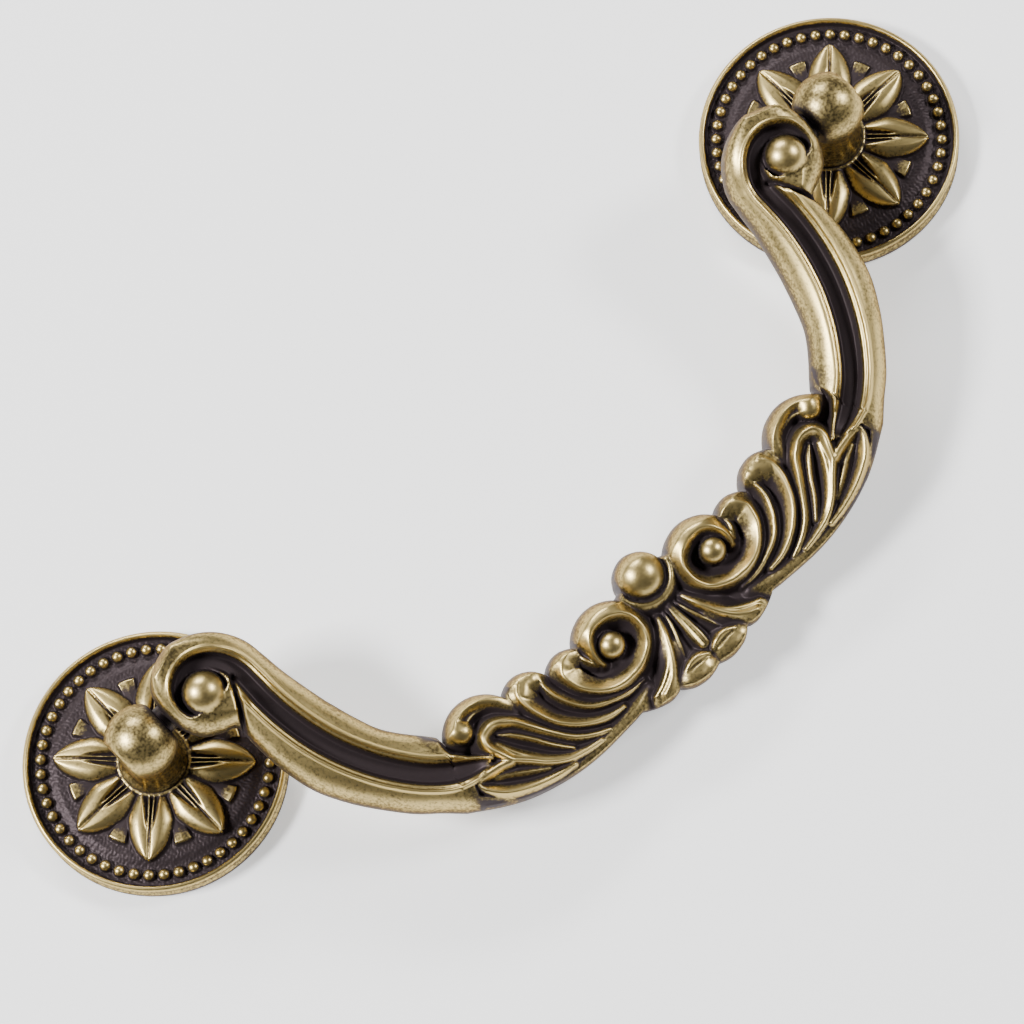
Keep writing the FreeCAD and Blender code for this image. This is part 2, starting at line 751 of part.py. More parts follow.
def lobes(document, size):
    """The volute with its eye and the two banded lobes round it."""
    zero = Size(0, "0")
    back = size.ornament_back
    eye = (size.volute_reach, -size.volute_drop)
    wide = (eye[0] + size.outer_lobe_shift, eye[1] + size.outer_lobe_lift)
    ring_corners = round_corners(size.volute_radius, size.volute_rise, size.volute_tube, BAND_ANGLES)
    eye_corners = round_corners(zero, size.eye_rise, size.eye_radius, BALL_ANGLES)
    volute = (
        [(zero, -back), (size.volute_radius + size.volute_tube, -back)]
        + ring_corners
        + [
            (size.volute_radius - size.volute_tube, size.plate_top),
            (size.eye_radius, size.plate_top),
        ]
        + eye_corners
        + [(zero, eye_corners[-1][1])]
    )
    inner_turn = (size.inner_lobe_start, size.inner_lobe_sweep)
    outer_turn = (size.outer_lobe_start, size.outer_lobe_sweep)
    inner_head = on_arc(eye, size.inner_lobe_radius, inner_turn[0] + inner_turn[1])
    outer_head = on_arc(wide, size.outer_lobe_radius, outer_turn[0] + outer_turn[1])
    width, rise = size.lobe_tube, size.lobe_rise
    return [
        turned_in_flats(document, "volute", eye, volute),
        band(document, "inner_lobe", eye, size.inner_lobe_radius, width, rise, back, inner_turn),
        band(document, "outer_lobe", wide, size.outer_lobe_radius, width, rise, back, outer_turn),
        knob(document, "inner_head", inner_head, size.inner_head_radius, rise, back),
        knob(document, "outer_head", outer_head, size.outer_head_radius, rise, back),
    ]


def hook_and_fronds(document, size):
    """The hook over the end of the arm and the two fronds that run back under the lobes."""
    end = arm_places(size)[2]
    back = size.ornament_back
    middle = (end[0] - size.hook_inset, end[1] + size.hook_lift)
    tip = on_arc(middle, size.hook_radius, size.hook_start)
    turn = (size.hook_start, size.hook_sweep)
    zero = Size(0, "0")
    upper = (end[0] - size.upper_frond_inset, end[1] + size.upper_frond_lift)
    lower = (end[0] + size.lower_frond_reach, end[1] - size.lower_frond_drop)
    floor = [
        (zero, -back),
        (size.hook_radius, -back),
        (size.hook_radius, size.plate_top),
        (zero, size.plate_top),
    ]
    return [
        turned_in_flats(document, "hook_floor", middle, floor),
        band(document, "hook", middle, size.hook_radius, size.hook_tube, size.hook_rise, back, turn),
        knob(document, "hook_ball", tip, size.hook_ball_radius, size.hook_rise, back),
        frond(
            document,
            "upper_frond",
            upper,
            size.upper_frond_heading,
            (zero, size.upper_frond_length, size.upper_frond_half_width),
            (zero, size.upper_frond_top, size.frond_crown),
        ),
        frond(
            document,
            "lower_frond",
            lower,
            size.lower_frond_heading,
            (zero, size.lower_frond_length, size.lower_frond_half_width),
            (zero, size.lower_frond_top, size.frond_crown),
        ),
    ]


def shell_side(document, size):
    """The right side of the shell: its side band and its small foot lobe."""
    back = size.ornament_back
    middle = (size.shell_band_reach, -size.shell_band_drop)
    turn = (size.shell_band_start, size.shell_band_sweep)
    radius, rise = size.shell_band_radius, size.shell_band_rise
    head = on_arc(middle, radius, turn[0] + turn[1])
    foot = (size.shell_foot_reach, -size.shell_foot_drop)
    return [
        band(document, "shell_band", middle, radius, size.lobe_tube, rise, back, turn),
        knob(document, "shell_band_head", head, size.inner_head_radius, rise, back),
        knob(document, "shell_foot", foot, size.shell_foot_radius, size.shell_foot_rise, back),
    ]


def middle_ornament(document, size):
    """The ball with its crescent and the ribbed shell below it, on the bail's middle line."""
    zero = Size(0, "0")
    back = size.ornament_back
    top = (zero, -size.middle_ball_drop)
    ground = [
        (zero, -back),
        (size.shell_radius, -back),
        (size.shell_radius, size.shell_top),
        (zero, size.shell_top),
    ]
    pieces = [
        turned(document, "shell", (zero, -size.shell_drop), ground),
        knob(document, "middle_ball", top, size.middle_ball_radius, size.middle_ball_rise, back),
        band(
            document,
            "crescent",
            top,
            size.crescent_radius,
            size.crescent_tube,
            size.crescent_rise,
            back,
            (size.crescent_start, size.crescent_sweep),
        ),
    ]
    for side in RIB_SIDES:
        pieces.append(
            frond(
                document,
                f"rib_{side + 1}",
                (size.rib_spacing * side, -size.rib_drop),
                size.rib_spread * side - QUARTER_TURN,
                (zero, size.rib_length, size.rib_half_width),
                (zero, size.rib_top, size.rib_crown),
            )
        )
    return pieces


def bail(document, size):
    """The cast bail: one half and its mirror image, joined by the ornament at the middle."""
    groups = {
        "arm": arm,
        "plate_and_border": plate_and_border,
        "lobes": lobes,
        "hook_and_fronds": hook_and_fronds,
        "shell_side": shell_side,
    }
    half = None
    for name, make in groups.items():
        pieces = make(document, size)
        half = fused(document, name, ([half] if half else []) + pieces)
    other = mirrored(document, "bail_other_half", half)
    whole = fused(document, "bail", [half, other] + middle_ornament(document, size))
    whole.Placement = Placement(ORIGIN, Rotation(X_AXIS, size.rest_slope.value))
    bind(whole, Placement__Base__z=size.pivot_height, Placement__Rotation__Angle=size.rest_slope)
    return whole


def main():
    document = FreeCAD.newDocument("bail_pull")
    size = Sizes(document)
    plate = rosette(document, size)
    turned_post = post(document, size)
    pieces = {
        "rosette_right": plate,
        "rosette_left": mirrored(document, "rosette_left", plate),
        "post_right": turned_post,
        "post_left": mirrored(document, "post_left", turned_post),
        "bail": bail(document, size),
    }
    document.recompute()
    broken = [item.Name for item in document.Objects if {"Invalid", "Error"} & set(item.State)]
    if broken:
        raise RuntimeError("did not build: " + ", ".join(broken))
    os.makedirs("parts", exist_ok=True)
    for name, item in pieces.items():
        item.Label = name
        if item.Shape.isNull() or not item.Shape.isValid():
            raise RuntimeError("not a valid solid: " + name)
        item.Shape.exportStep(f"parts/{name}.step")


main()
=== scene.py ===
"""The looks of a bail pull: antiqued brass castings with carved relief, on a pale studio floor.

The carved pieces are reliefs worked out with numpy: a grid of two parameters is laid over each
outline and lifted by height functions. The pull's frame is the one of its solids: X along the screw
holes, Y up the drawer front, Z out of it, in metres. Sizes below are millimetres.
"""

import logging
import math
from dataclasses import dataclass, field
from enum import Enum

import bmesh
import bpy
import numpy as np
from mathutils import Matrix

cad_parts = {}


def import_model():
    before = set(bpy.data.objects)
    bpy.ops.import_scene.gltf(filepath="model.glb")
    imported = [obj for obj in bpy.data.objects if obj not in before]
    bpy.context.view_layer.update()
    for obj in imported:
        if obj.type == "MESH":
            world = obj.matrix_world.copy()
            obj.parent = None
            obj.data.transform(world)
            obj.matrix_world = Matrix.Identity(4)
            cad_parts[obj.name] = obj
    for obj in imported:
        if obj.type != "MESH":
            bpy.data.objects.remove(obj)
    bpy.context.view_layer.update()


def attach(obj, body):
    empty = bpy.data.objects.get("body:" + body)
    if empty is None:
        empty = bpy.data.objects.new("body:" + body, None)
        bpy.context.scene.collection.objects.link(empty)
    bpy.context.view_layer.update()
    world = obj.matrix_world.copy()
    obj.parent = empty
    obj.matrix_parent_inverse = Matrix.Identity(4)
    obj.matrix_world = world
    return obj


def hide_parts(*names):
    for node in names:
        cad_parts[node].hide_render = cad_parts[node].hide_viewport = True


log = logging.getLogger("bail_pull")
MM = 0.001
Points = np.ndarray
Curve = list[tuple[float, ...]]


# Mesh helpers


def smooth_curve(knots: Curve, count: int) -> Points:
    """Carry a Catmull-Rom curve through knots.

    Each span is the cubic whose slope at a knot is half the step between its two neighbours.

    Args:
        knots: Rows of coordinates, with any number of columns.
        count: Number of points to return, evenly spaced over the spans.

    Returns:
        An array of count rows.
    """
    rows = np.asarray(knots, dtype=float)
    padded = np.vstack([2 * rows[0] - rows[1], rows, 2 * rows[-1] - rows[-2]])
    where = np.linspace(0, len(rows) - 1, count)
    span = np.minimum(where.astype(int), len(rows) - 2)
    t = (where - span)[:, None]
    p0, p1, p2, p3 = (padded[span + k] for k in range(4))
    return 0.5 * (
        2 * p1
        + (p2 - p0) * t
        + (2 * p0 - 5 * p1 + 4 * p2 - p3) * t**2
        + (3 * p1 - p0 - 3 * p2 + p3) * t**3
    )


def grid_faces(rows: int, columns: int, wrap: bool = False) -> np.ndarray:
    """Corner numbers of the quads of a grid of points.

    Args:
        rows: Number of grid rows.
        columns: Number of points in a row.
        wrap: Whether the last column joins the first.

    Returns:
        An array with four corner numbers per quad.
    """
    reach = columns if wrap else columns - 1
    row, column = np.meshgrid(np.arange(rows - 1), np.arange(reach), indexing="ij")
    following = (column + 1) % columns
    corners = [row * columns + column, row * columns + following]
    corners += [(row + 1) * columns + following, (row + 1) * columns + column]
    return np.stack(corners, axis=-1).reshape(-1, 4)


def make_piece(
    name: str, points: Points, faces: np.ndarray, depth: Points | None = None, smooth: bool = True
) -> bpy.types.Object:
    """Put a surface into a new object, merge its shared edges and face it outwards.

    Args:
        name: The object's name.
        points: Corners in millimetres, in the pull's frame.
        faces: Corner numbers, three or four per face.
        depth: The recess value of each corner, on the bail with painted shade along its outline added, or none for a
            level surface.
        smooth: Whether faces are shaded smoothly.

    Returns:
        The new object, at the origin.
    """
    mesh = bpy.data.meshes.new(name)
    mesh.from_pydata((np.asarray(points) * MM).tolist(), [], faces.tolist())
    values = np.full(len(points), 0.5) if depth is None else np.asarray(depth, dtype=float)
    mesh.attributes.new("recess", "FLOAT", "POINT").data.foreach_set("value", values.astype(np.float32))
    shape = bmesh.new()
    shape.from_mesh(mesh)
    bmesh.ops.remove_doubles(shape, verts=shape.verts, dist=1e-7)
    bmesh.ops.dissolve_degenerate(shape, dist=1e-8, edges=shape.edges)
    bmesh.ops.recalc_face_normals(shape, faces=shape.faces)
    shape.to_mesh(mesh)
    shape.free()
    mesh.polygons.foreach_set("use_smooth", np.full(len(mesh.polygons), smooth))
    piece = bpy.data.objects.new(name, mesh)
    bpy.context.scene.collection.objects.link(piece)
    log.info("%s: %d faces", name, len(mesh.polygons))
    return piece


# Relief helpers: all take arrays of positions and return arrays of heights


def smooth_max(a: Points, b: Points, blend: float) -> Points:
    """The higher of two heights, with the crease between them filled over a blend width."""
    gap = np.clip(0.5 + 0.5 * (a - b) / blend, 0, 1)
    return b + (a - b) * gap + blend * gap * (1 - gap)


def smooth_min(a: Points, b: Points, blend: float) -> Points:
    """The lower of two heights, with the edge between them rounded over a blend width."""
    return -smooth_max(-a, -b, blend)


def near_curve(u: Points, v: Points, knots: Curve, count: int = 40) -> tuple[Points, Points, Points]:
    """Distance from each position to a curve, the side it lies on, and what the curve carries there.

    The curve is cut into short chords; for each chord the foot of the perpendicular is clipped to
    the chord, and the nearest of all chords is kept.

    Args:
        u: Positions along the pull.
        v: Positions across it.
        knots: Rows of u, v and further columns carried along.
        count: Number of points along the curve.

    Returns:
        The distances, an array with one row per further column, and the sides: 1 straight to the left
        of the curve's run, -1 straight to its right, between them past its ends.
    """
    path = smooth_curve(knots, count)
    best = np.full(u.shape, 1e9)
    side = np.zeros(u.shape)
    carried = np.zeros((path.shape[1] - 2,) + u.shape)
    for start, stop in zip(path[:-1], path[1:]):
        step = stop[:2] - start[:2]
        length = float(step @ step) + 1e-12
        share = np.clip(((u - start[0]) * step[0] + (v - start[1]) * step[1]) / length, 0, 1)
        off_u, off_v = u - start[0] - share * step[0], v - start[1] - share * step[1]
        distance = np.hypot(off_u, off_v)
        closer = distance < best
        best = np.where(closer, distance, best)
        turn = (step[0] * off_v - step[1] * off_u) / (math.sqrt(length) * distance + 1e-9)
        side = np.where(closer, turn, side)
        for index in range(carried.shape[0]):
            value = start[2 + index] + share * (stop[2 + index] - start[2 + index])
            carried[index] = np.where(closer, value, carried[index])
    return best, carried, side


LOW = -6.0


def blurred(height: Points, reach: tuple[float, float], wrap: bool = False) -> Points:
    """Even out a grid of heights with a bell-shaped weight along its rows and its columns.

    Args:
        height: Heights on a grid of rows and columns.
        reach: Width of the bell in cells, over the rows and over the columns.
        wrap: Whether the last column joins the first.

    Returns:
        The evened heights.
    """
    out = height
    for axis, cells in enumerate(reach):
        half = int(3 * cells) + 1
        offsets = np.arange(-half, half + 1)
        weights = np.exp(-0.5 * (offsets / cells) ** 2)
        margin = ((half, half), (0, 0)) if axis == 0 else ((0, 0), (half, half))
        padded = np.pad(out, margin, mode="wrap" if wrap and axis == 1 else "edge")
        count = out.shape[axis]
        out = sum(w * padded.take(range(k, k + count), axis) for k, w in enumerate(weights)) / weights.sum()
    return out


def recess(height: Points, wide: tuple[float, float], near: tuple[float, float], wrap: bool = False) -> Points:
    """How deep each point of a relief lies below its surroundings: 0.5 level, above it deeper."""
    far = blurred(height, wide, wrap) - height
    close = blurred(height, near, wrap) - height
    return np.clip(0.5 + 0.36 * far + 0.75 * close, 0, 1)


@dataclass(frozen=True)
class Ridge:
    """A crest of the carving, with a slope to the left of its run and another to the right.

    Its knots hold u, v and the height of the crest, and may go on with both slopes of their own.
    """

    knots: Curve
    left: float = 1.5
    right: float = 1.5
    edge: float = 0.2
    blend: float = 0.1

    def raise_on(self, ground: Points, u: Points, v: Points) -> Points:
        """Lay the ridge on the ground.

        From the crest it falls by the slope times sqrt(d**2 + edge**2) - edge, where d is the distance
        from the crest and the slope passes from one side's to the other's round the ends.
        """
        distance, carried, side = near_curve(u, v, self.knots, 5 * len(self.knots))
        crest = carried[0]
        left, right = (carried[1], carried[2]) if len(carried) > 1 else (self.left, self.right)
        slope = (left + right) / 2 + side * (left - right) / 2
        return smooth_max(ground, crest - slope * (np.hypot(distance, self.edge) - self.edge), self.blend)


def soft_step(value: Points) -> Points:
    """Rise smoothly from 0 at 0 to 1 at 1, by 3x**2 - 2x**3."""
    x = np.clip(value, 0, 1)
    return x * x * (3 - 2 * x)


# The bail


@dataclass
class Bail:
    """The swinging handle: two grooved arms that roll up into scrolls, and carving between them."""

    pivot_height: float = 15.0
    rest_slope: float = 13.5
    carving_columns: int = 250
    arm_columns: int = 190
    rows: int = 88
    carving_side: float = 0.8
    arm_side: float = 1.9
    carving_back: float = -4.1
    arm_back: float = -3.1
    ground: float = 2.6
    pin_radius: float = 2.0
    pin_ends: tuple[float, float] = (52.0, 64.6)
    # Discs whose upper envelope is the carving's outline towards the gap: u, v, radius
    upper_discs: Curve = field(
        default_factory=lambda: [
            (0.0, -29.4, 3.5),
            (2.9, -32.6, 3.6),
            (8.6, -33.3, 5.6),
            (15.7, -32.9, 3.6),
            (22.2, -31.5, 3.9),
            (30.0, -31.0, 5.8),
        ]
    )
    lower_outline: Curve = field(
        default_factory=lambda: [
            (0.0, -45.4),
            (1.2, -45.8),
            (2.6, -45.95),
            (4.4, -45.6),
            (5.6, -44.9),
            (6.2, -44.35),
            (6.9, -44.6),
            (8.2, -44.7),
            (10.0, -44.2),
            (11.5, -43.5),
            (12.2, -43.15),
            (14.0, -43.3),
            (20.0, -43.5),
            (25.0, -43.0),
            (30.0, -41.7),
            (34.0, -39.9),
            (38.8, -36.9),
        ]
    )
    # Where a line across the carving meets its upper and its lower outline
    crossings: Curve = field(
        default_factory=lambda: [
            (0.0, 0.0),
            (6.5, 6.2),
            (13.0, 12.3),
            (18.7, 18.5),
            (24.7, 24.7),
            (30.3, 32.0),
            (34.9, 38.8),
        ]
    )
    # Lines across the arm and the scroll: inner u, v and outer u, v
    arm_lines: Curve = field(
        default_factory=lambda: [
            (34.9, -26.6, 38.8, -36.9),
            (35.9, -25.35, 41.2, -34.6),
            (37.1, -24.0, 44.1, -32.0),
            (38.7, -22.0, 47.4, -28.0),
            (39.95, -20.0, 49.6, -24.8),
            (41.1, -17.0, 51.6, -21.0),
            (42.05, -14.0, 52.7, -17.0),
            (42.6, -12.0, 53.2, -13.5),
            (43.5, -8.0, 53.4, -9.6),
            (43.95, -5.5, 53.5, -7.6),
            (44.3, -2.5, 55.6, -6.6),
            (44.7, 0.0, 57.6, -5.4),
            (45.6, 2.0, 58.9, -3.2),
            (47.1, 4.0, 59.4, -0.6),
            (49.0, 5.5, 59.3, 2.0),
            (51.0, 6.4, 58.6, 4.0),
            (53.0, 6.85, 57.2, 5.4),
            (54.9, 6.5, 55.6, 6.25),
            (55.3, 6.4, 55.3, 6.4),
        ]
    )
    # The ball in the scroll: u, v, height of its middle, radius
    ball: tuple[float, float, float, float] = (53.75, -1.15, 4.75, 3.05)
    # Balls of the carving: in the middle, and at the hook's end
    carving_balls: Curve = field(default_factory=lambda: [(0.0, -29.4, 3.3, 3.45, 0.12), (32.3, -28.4, 4.6, 1.75, 0.8)])
    # The volute's eye: u, v, radius
    eye: tuple[float, float, float] = (9.4, -33.5, 1.95)
    # The edge that coils from the second lobe into the volute: u, v, height, outer and inner slope
    coil: Curve = field(
        default_factory=lambda: [
            (14.6, -30.4, 5.1, 0.5, 0.5),
            (16.0, -30.8, 5.3, 0.8, 0.4),
            (17.0, -31.9, 5.4, 1.6, 0.4),
            (17.0, -33.1, 5.5, 1.9, 0.45),
            (16.5, -34.7, 5.5, 1.9, 0.6),
            (15.6, -36.0, 5.5, 1.9, 0.8),
            (14.6, -37.0, 5.5, 1.9, 1.0),
            (13.4, -37.8, 5.5, 2.0, 1.0),
            (11.9, -38.3, 5.5, 2.0, 1.1),
            (10.3, -38.4, 5.5, 2.0, 1.1),
            (8.6, -38.2, 5.5, 2.0, 1.1),
            (7.1, -37.6, 5.6, 2.0, 1.1),
            (5.9, -36.8, 5.7, 2.0, 1.2),
            (5.1, -35.7, 5.9, 2.0, 1.3),
            (4.7, -34.3, 6.0, 1.9, 1.4),
            (4.8, -32.6, 6.1, 1.6, 1.5),
            (5.6, -31.2, 6.2, 0.9, 1.6),
            (6.8, -30.4, 6.3, 0.5, 1.6),
            (7.9, -30.0, 6.3, 0.45, 1.6),
            (9.3, -29.95, 6.4, 0.45, 1.6),
            (10.4, -30.25, 6.4, 0.5, 1.6),
            (11.4, -31.1, 6.3, 1.0, 1.6),
            (12.1, -32.5, 6.0, 1.8, 1.7),
            (12.2, -33.8, 5.6, 2.0, 1.8),
            (12.0, -34.7, 5.1, 2.0, 2.0),
        ]
    )
    # Where the arm dives under the carving, from the gap to the foot
    arm_end: Curve = field(
        default_factory=lambda: [
            (35.0, -24.0),
            (35.2, -26.5),
            (35.7, -28.0),
            (35.6, -29.6),
            (34.4, -31.2),
            (33.0, -32.4),
            (31.6, -33.7),
            (33.6, -34.3),
            (36.1, -34.7),
            (36.5, -36.2),
            (35.2, -37.5),
            (33.0, -39.5),
            (31.0, -42.0),
        ]
    )
    # Middle of the groove: u, v, depth, half width
    groove: Curve = field(
        default_factory=lambda: [
            (31.6, -34.2, 0.6, 0.5),
            (33.4, -33.3, 2.2, 1.3),
            (36.6, -31.7, 2.6, 2.0),
            (39.6, -29.2, 2.6, 2.1),
            (42.2, -26.0, 2.6, 2.15),
            (44.2, -22.8, 2.6, 2.15),
            (46.0, -19.0, 2.6, 2.15),
            (47.3, -15.0, 2.6, 2.15),
            (48.1, -11.0, 2.6, 2.1),
            (48.45, -7.5, 2.6, 2.05),
            (48.5, -4.5, 2.6, 2.0),
            (48.6, -2.2, 2.6, 1.95),
            (49.2, -0.2, 2.6, 1.85),
            (50.6, 1.6, 2.6, 1.7),
            (52.6, 2.55, 2.6, 1.55),
            (54.6, 2.35, 2.5, 1.4),
            (56.3, 1.1, 2.4, 1.2),
            (56.9, -0.8, 1.9, 0.95),
            (56.7, -2.6, 0.5, 0.8),
            (56.2, -3.6, 0.0, 0.7),
        ]
    )

    def carving_ridges(self) -> list[Ridge]:
        """The right half's ridges."""
        return [
            # Border along the foot of the carving
            Ridge(
                [
                    (38.0, -34.8, 5.3),
                    (34.0, -37.9, 4.9),
                    (30.0, -40.3, 4.5),
                    (25.0, -41.9, 4.2),
                    (20.3, -42.4, 4.1),
                    (16.4, -42.3, 4.0),
                    (12.5, -41.8, 3.8),
                    (9.8, -40.9, 3.4),
                ],
                0.9,
                1.6,
                1.1,
            ),
            # Shell: floor, middle wedge, thin rib, side lobe between its two edges, foot lobe with a slit
            Ridge([(0.0, -36.0, 3.2), (0.0, -42.0, 3.4)], 0.2, 0.2, 0.5),
            Ridge([(0.25, -35.2, 4.2), (0.45, -38.0, 4.6), (0.6, -40.4, 4.7), (0.55, -42.0, 4.5)], 2.6, 0.4, 0.12),
            Ridge([(1.1, -35.4, 3.8), (1.5, -37.0, 4.2), (2.2, -38.9, 4.4), (2.8, -40.5, 4.3), (3.4, -42.0, 4.0)], 1.9, 1.9, 0.1),
            Ridge(
                [
                    (2.2, -35.2, 4.2, 1.2, 1.8),
                    (3.0, -37.3, 4.9, 0.9, 1.8),
                    (4.0, -39.4, 5.1, 0.8, 1.7),
                    (4.9, -40.8, 5.1, 1.0, 1.5),
                    (6.0, -42.0, 5.0, 1.2, 1.1),
                    (7.2, -42.8, 4.9, 1.2, 0.7),
                    (8.4, -43.3, 4.7, 1.2, 0.5),
                ]
            ),
            Ridge([(4.0, -38.6, 4.8), (4.9, -39.9, 4.9), (6.2, -41.1, 4.8), (7.9, -42.1, 4.5), (9.6, -42.7, 4.1)], 2.4, 0.5, 0.15),
            Ridge([(0.5, -43.2, 4.5), (1.4, -42.7, 4.9), (2.4, -42.5, 5.0), (3.5, -42.6, 4.9), (4.4, -43.0, 4.6)], 2.2, 1.2, 0.25),
            Ridge([(1.1, -43.7, 4.5), (2.1, -43.7, 4.7), (3.3, -43.6, 4.7), (4.3, -43.6, 4.5)], 1.6, 0.5),
            Ridge([(2.0, -44.3, 4.7), (3.2, -44.4, 4.8), (4.4, -44.1, 4.7)], 0.8, 0.8, 1.2, 0.3),
            # Brow of the second lobe, and the comma under it
            Ridge([(14.2, -30.9, 4.9), (15.2, -30.8, 5.1), (15.8, -31.1, 5.2)], 0.8, 0.9, 1.1, 0.35),
            Ridge([(13.5, -31.4, 4.6), (13.5, -32.3, 5.0), (13.2, -33.2, 5.1), (12.7, -34.2, 4.8)], 1.7, 1.7, 0.15),
            # Narrow rib, brow and edge of the third lobe
            Ridge(
                [
                    (19.4, -29.4, 4.4),
                    (19.9, -31.1, 4.8),
                    (19.9, -32.4, 5.0),
                    (19.6, -33.7, 5.1),
                    (18.6, -35.8, 5.2),
                    (16.9, -37.8, 5.1),
                    (14.5, -39.0, 4.8),
                    (11.8, -39.8, 4.3),
                    (9.2, -39.9, 3.7),
                ],
                2.0,
                1.3,
                0.12,
            ),
            Ridge([(20.6, -29.6, 5.0), (21.7, -29.5, 5.2), (22.8, -30.3, 5.4)], 0.8, 0.9, 1.1, 0.35),
            Ridge(
                [
                    (22.4, -28.9, 5.2, 0.6, 0.5),
                    (23.3, -29.8, 5.4, 1.4, 0.5),
                    (23.5, -31.3, 5.6, 1.9, 0.7),
                    (23.1, -33.3, 5.7, 2.0, 1.0),
                    (22.0, -35.9, 5.6, 2.0, 1.2),
                    (20.2, -38.0, 5.4, 2.0, 1.2),
                    (18.1, -39.5, 5.1, 2.0, 1.2),
                    (15.9, -40.4, 4.7, 1.9, 1.3),
                    (13.8, -40.7, 4.2, 1.8, 1.4),
                ],
                edge=0.15,
            ),
            # Hook over the arm, with a thin ridge inside it
            Ridge(
                [
                    (25.2, -31.2, 4.5),
                    (25.4, -29.8, 5.0),
                    (26.1, -28.3, 5.3),
                    (27.2, -27.2, 5.5),
                    (28.6, -26.4, 5.7),
                    (30.3, -26.1, 5.8),
                    (31.9, -26.6, 6.0),
                    (32.8, -27.7, 6.2),
                ],
                0.7,
                1.25,
                0.9,
            ),
            Ridge([(31.5, -28.3, 5.5), (30.2, -27.7, 5.3), (28.9, -27.8, 5.0), (27.4, -28.4, 4.8), (26.1, -29.9, 4.4)], 2.0, 2.0, 0.1),
            # Upper leaf: its arched edge, two veins and the line where it meets the lower leaf
            Ridge(
                [
                    (29.8, -35.6, 6.5),
                    (30.5, -33.9, 6.7),
                    (31.1, -32.2, 6.7),
                    (30.7, -30.8, 6.6),
                    (29.3, -30.3, 6.5),
                    (28.1, -30.5, 6.3),
                    (27.1, -31.2, 6.2),
                    (26.1, -32.1, 6.0),
                    (24.8, -34.2, 5.8),
                    (23.3, -36.6, 5.4),
                    (21.6, -38.9, 5.1),
                    (19.5, -40.5, 4.7),
                    (17.2, -41.6, 4.1),
                ],
                1.5,
                2.2,
                0.35,
            ),
            Ridge([(28.9, -31.9, 5.2), (27.6, -33.2, 5.6), (25.9, -35.4, 5.5), (24.5, -37.7, 5.3), (22.6, -40.1, 4.8)], 1.6, 1.6, 0.12),
            Ridge([(29.9, -32.7, 5.8), (28.9, -35.1, 6.0), (27.4, -37.3, 5.8), (25.6, -39.2, 5.5), (23.2, -40.8, 4.9)], 1.5, 1.6, 0.12),
            Ridge([(29.8, -35.6, 6.5), (28.1, -37.3, 6.2), (26.3, -39.2, 5.8), (24.1, -40.7, 5.4), (21.6, -41.5, 4.9), (19.0, -42.0, 4.4)], 2.1, 1.5, 0.25),
            # Lower leaf: its edge and its vein
            Ridge(
                [
                    (30.0, -35.6, 6.4),
                    (31.5, -35.1, 6.4),
                    (33.8, -34.7, 6.4),
                    (35.3, -34.8, 6.4),
                    (35.2, -36.0, 6.3),
                    (33.9, -37.7, 6.2),
                    (32.4, -38.9, 6.0),
                    (29.7, -40.3, 5.6),
                    (26.6, -41.3, 5.2),
                    (23.9, -41.8, 4.8),
                ],
                2.3,
                1.5,
                0.35,
            ),
            Ridge([(33.1, -36.0, 5.4), (31.6, -36.7, 5.5), (29.2, -38.3, 5.4), (26.8, -39.9, 5.0)], 1.3, 1.3, 0.2),
        ]

    def volute(self, ground: Points, u: Points, v: Points) -> Points:
        """Lay the volute on the ground: a hollow disc, one coiled edge round it and a ball for its eye."""
        eye_u, eye_v, eye_radius = self.eye
        r = np.hypot(u - eye_u, v - eye_v)
        height = smooth_max(ground, np.where(r < 4.6, 3.1 + 0.02 * r**2, LOW), 0.1)
        height = Ridge(self.coil, edge=0.16).raise_on(height, u, v)
        eye = np.where(r < eye_radius, 4.5 + np.sqrt(np.clip(eye_radius**2 - r**2, 0, None)), LOW)
        return smooth_max(height, eye, 0.1)

    def carving(self, u: Points, v: Points) -> Points:
        """Height of the carving between the arms: ground, ridges, volutes and the balls."""
        height = np.full(u.shape, self.ground)
        arc = [(4.15 * math.sin(a), -29.3 - 4.15 * math.cos(a), 4.9) for a in np.linspace(-1.5, 1.5, 13)]
        height = Ridge(arc, 1.6, 1.3, 0.3).raise_on(height, u, v)
        height = self.volute(height, u, v)
        for ridge in self.carving_ridges():
            height = ridge.raise_on(height, u, v)
        for ball_u, ball_v, middle, radius, blend in self.carving_balls:
            r = np.hypot(u - ball_u, v - ball_v)
            dome = np.where(r < radius, middle + np.sqrt(np.clip(radius**2 - r**2, 0, None)), LOW)
            height = smooth_max(height, dome, blend)
        return height

    def dome(self, across: Points, along: Points) -> Points:
        """Section of the bar, (1 - |x|**p)**(1/p): rounder on the arm than on the scroll."""
        power = 2.2 + 1.6 * soft_step((along - 0.6) / 0.15)
        x = np.clip(np.abs(across), 0, 1)
        return (1 - x**power) ** (1 / power)

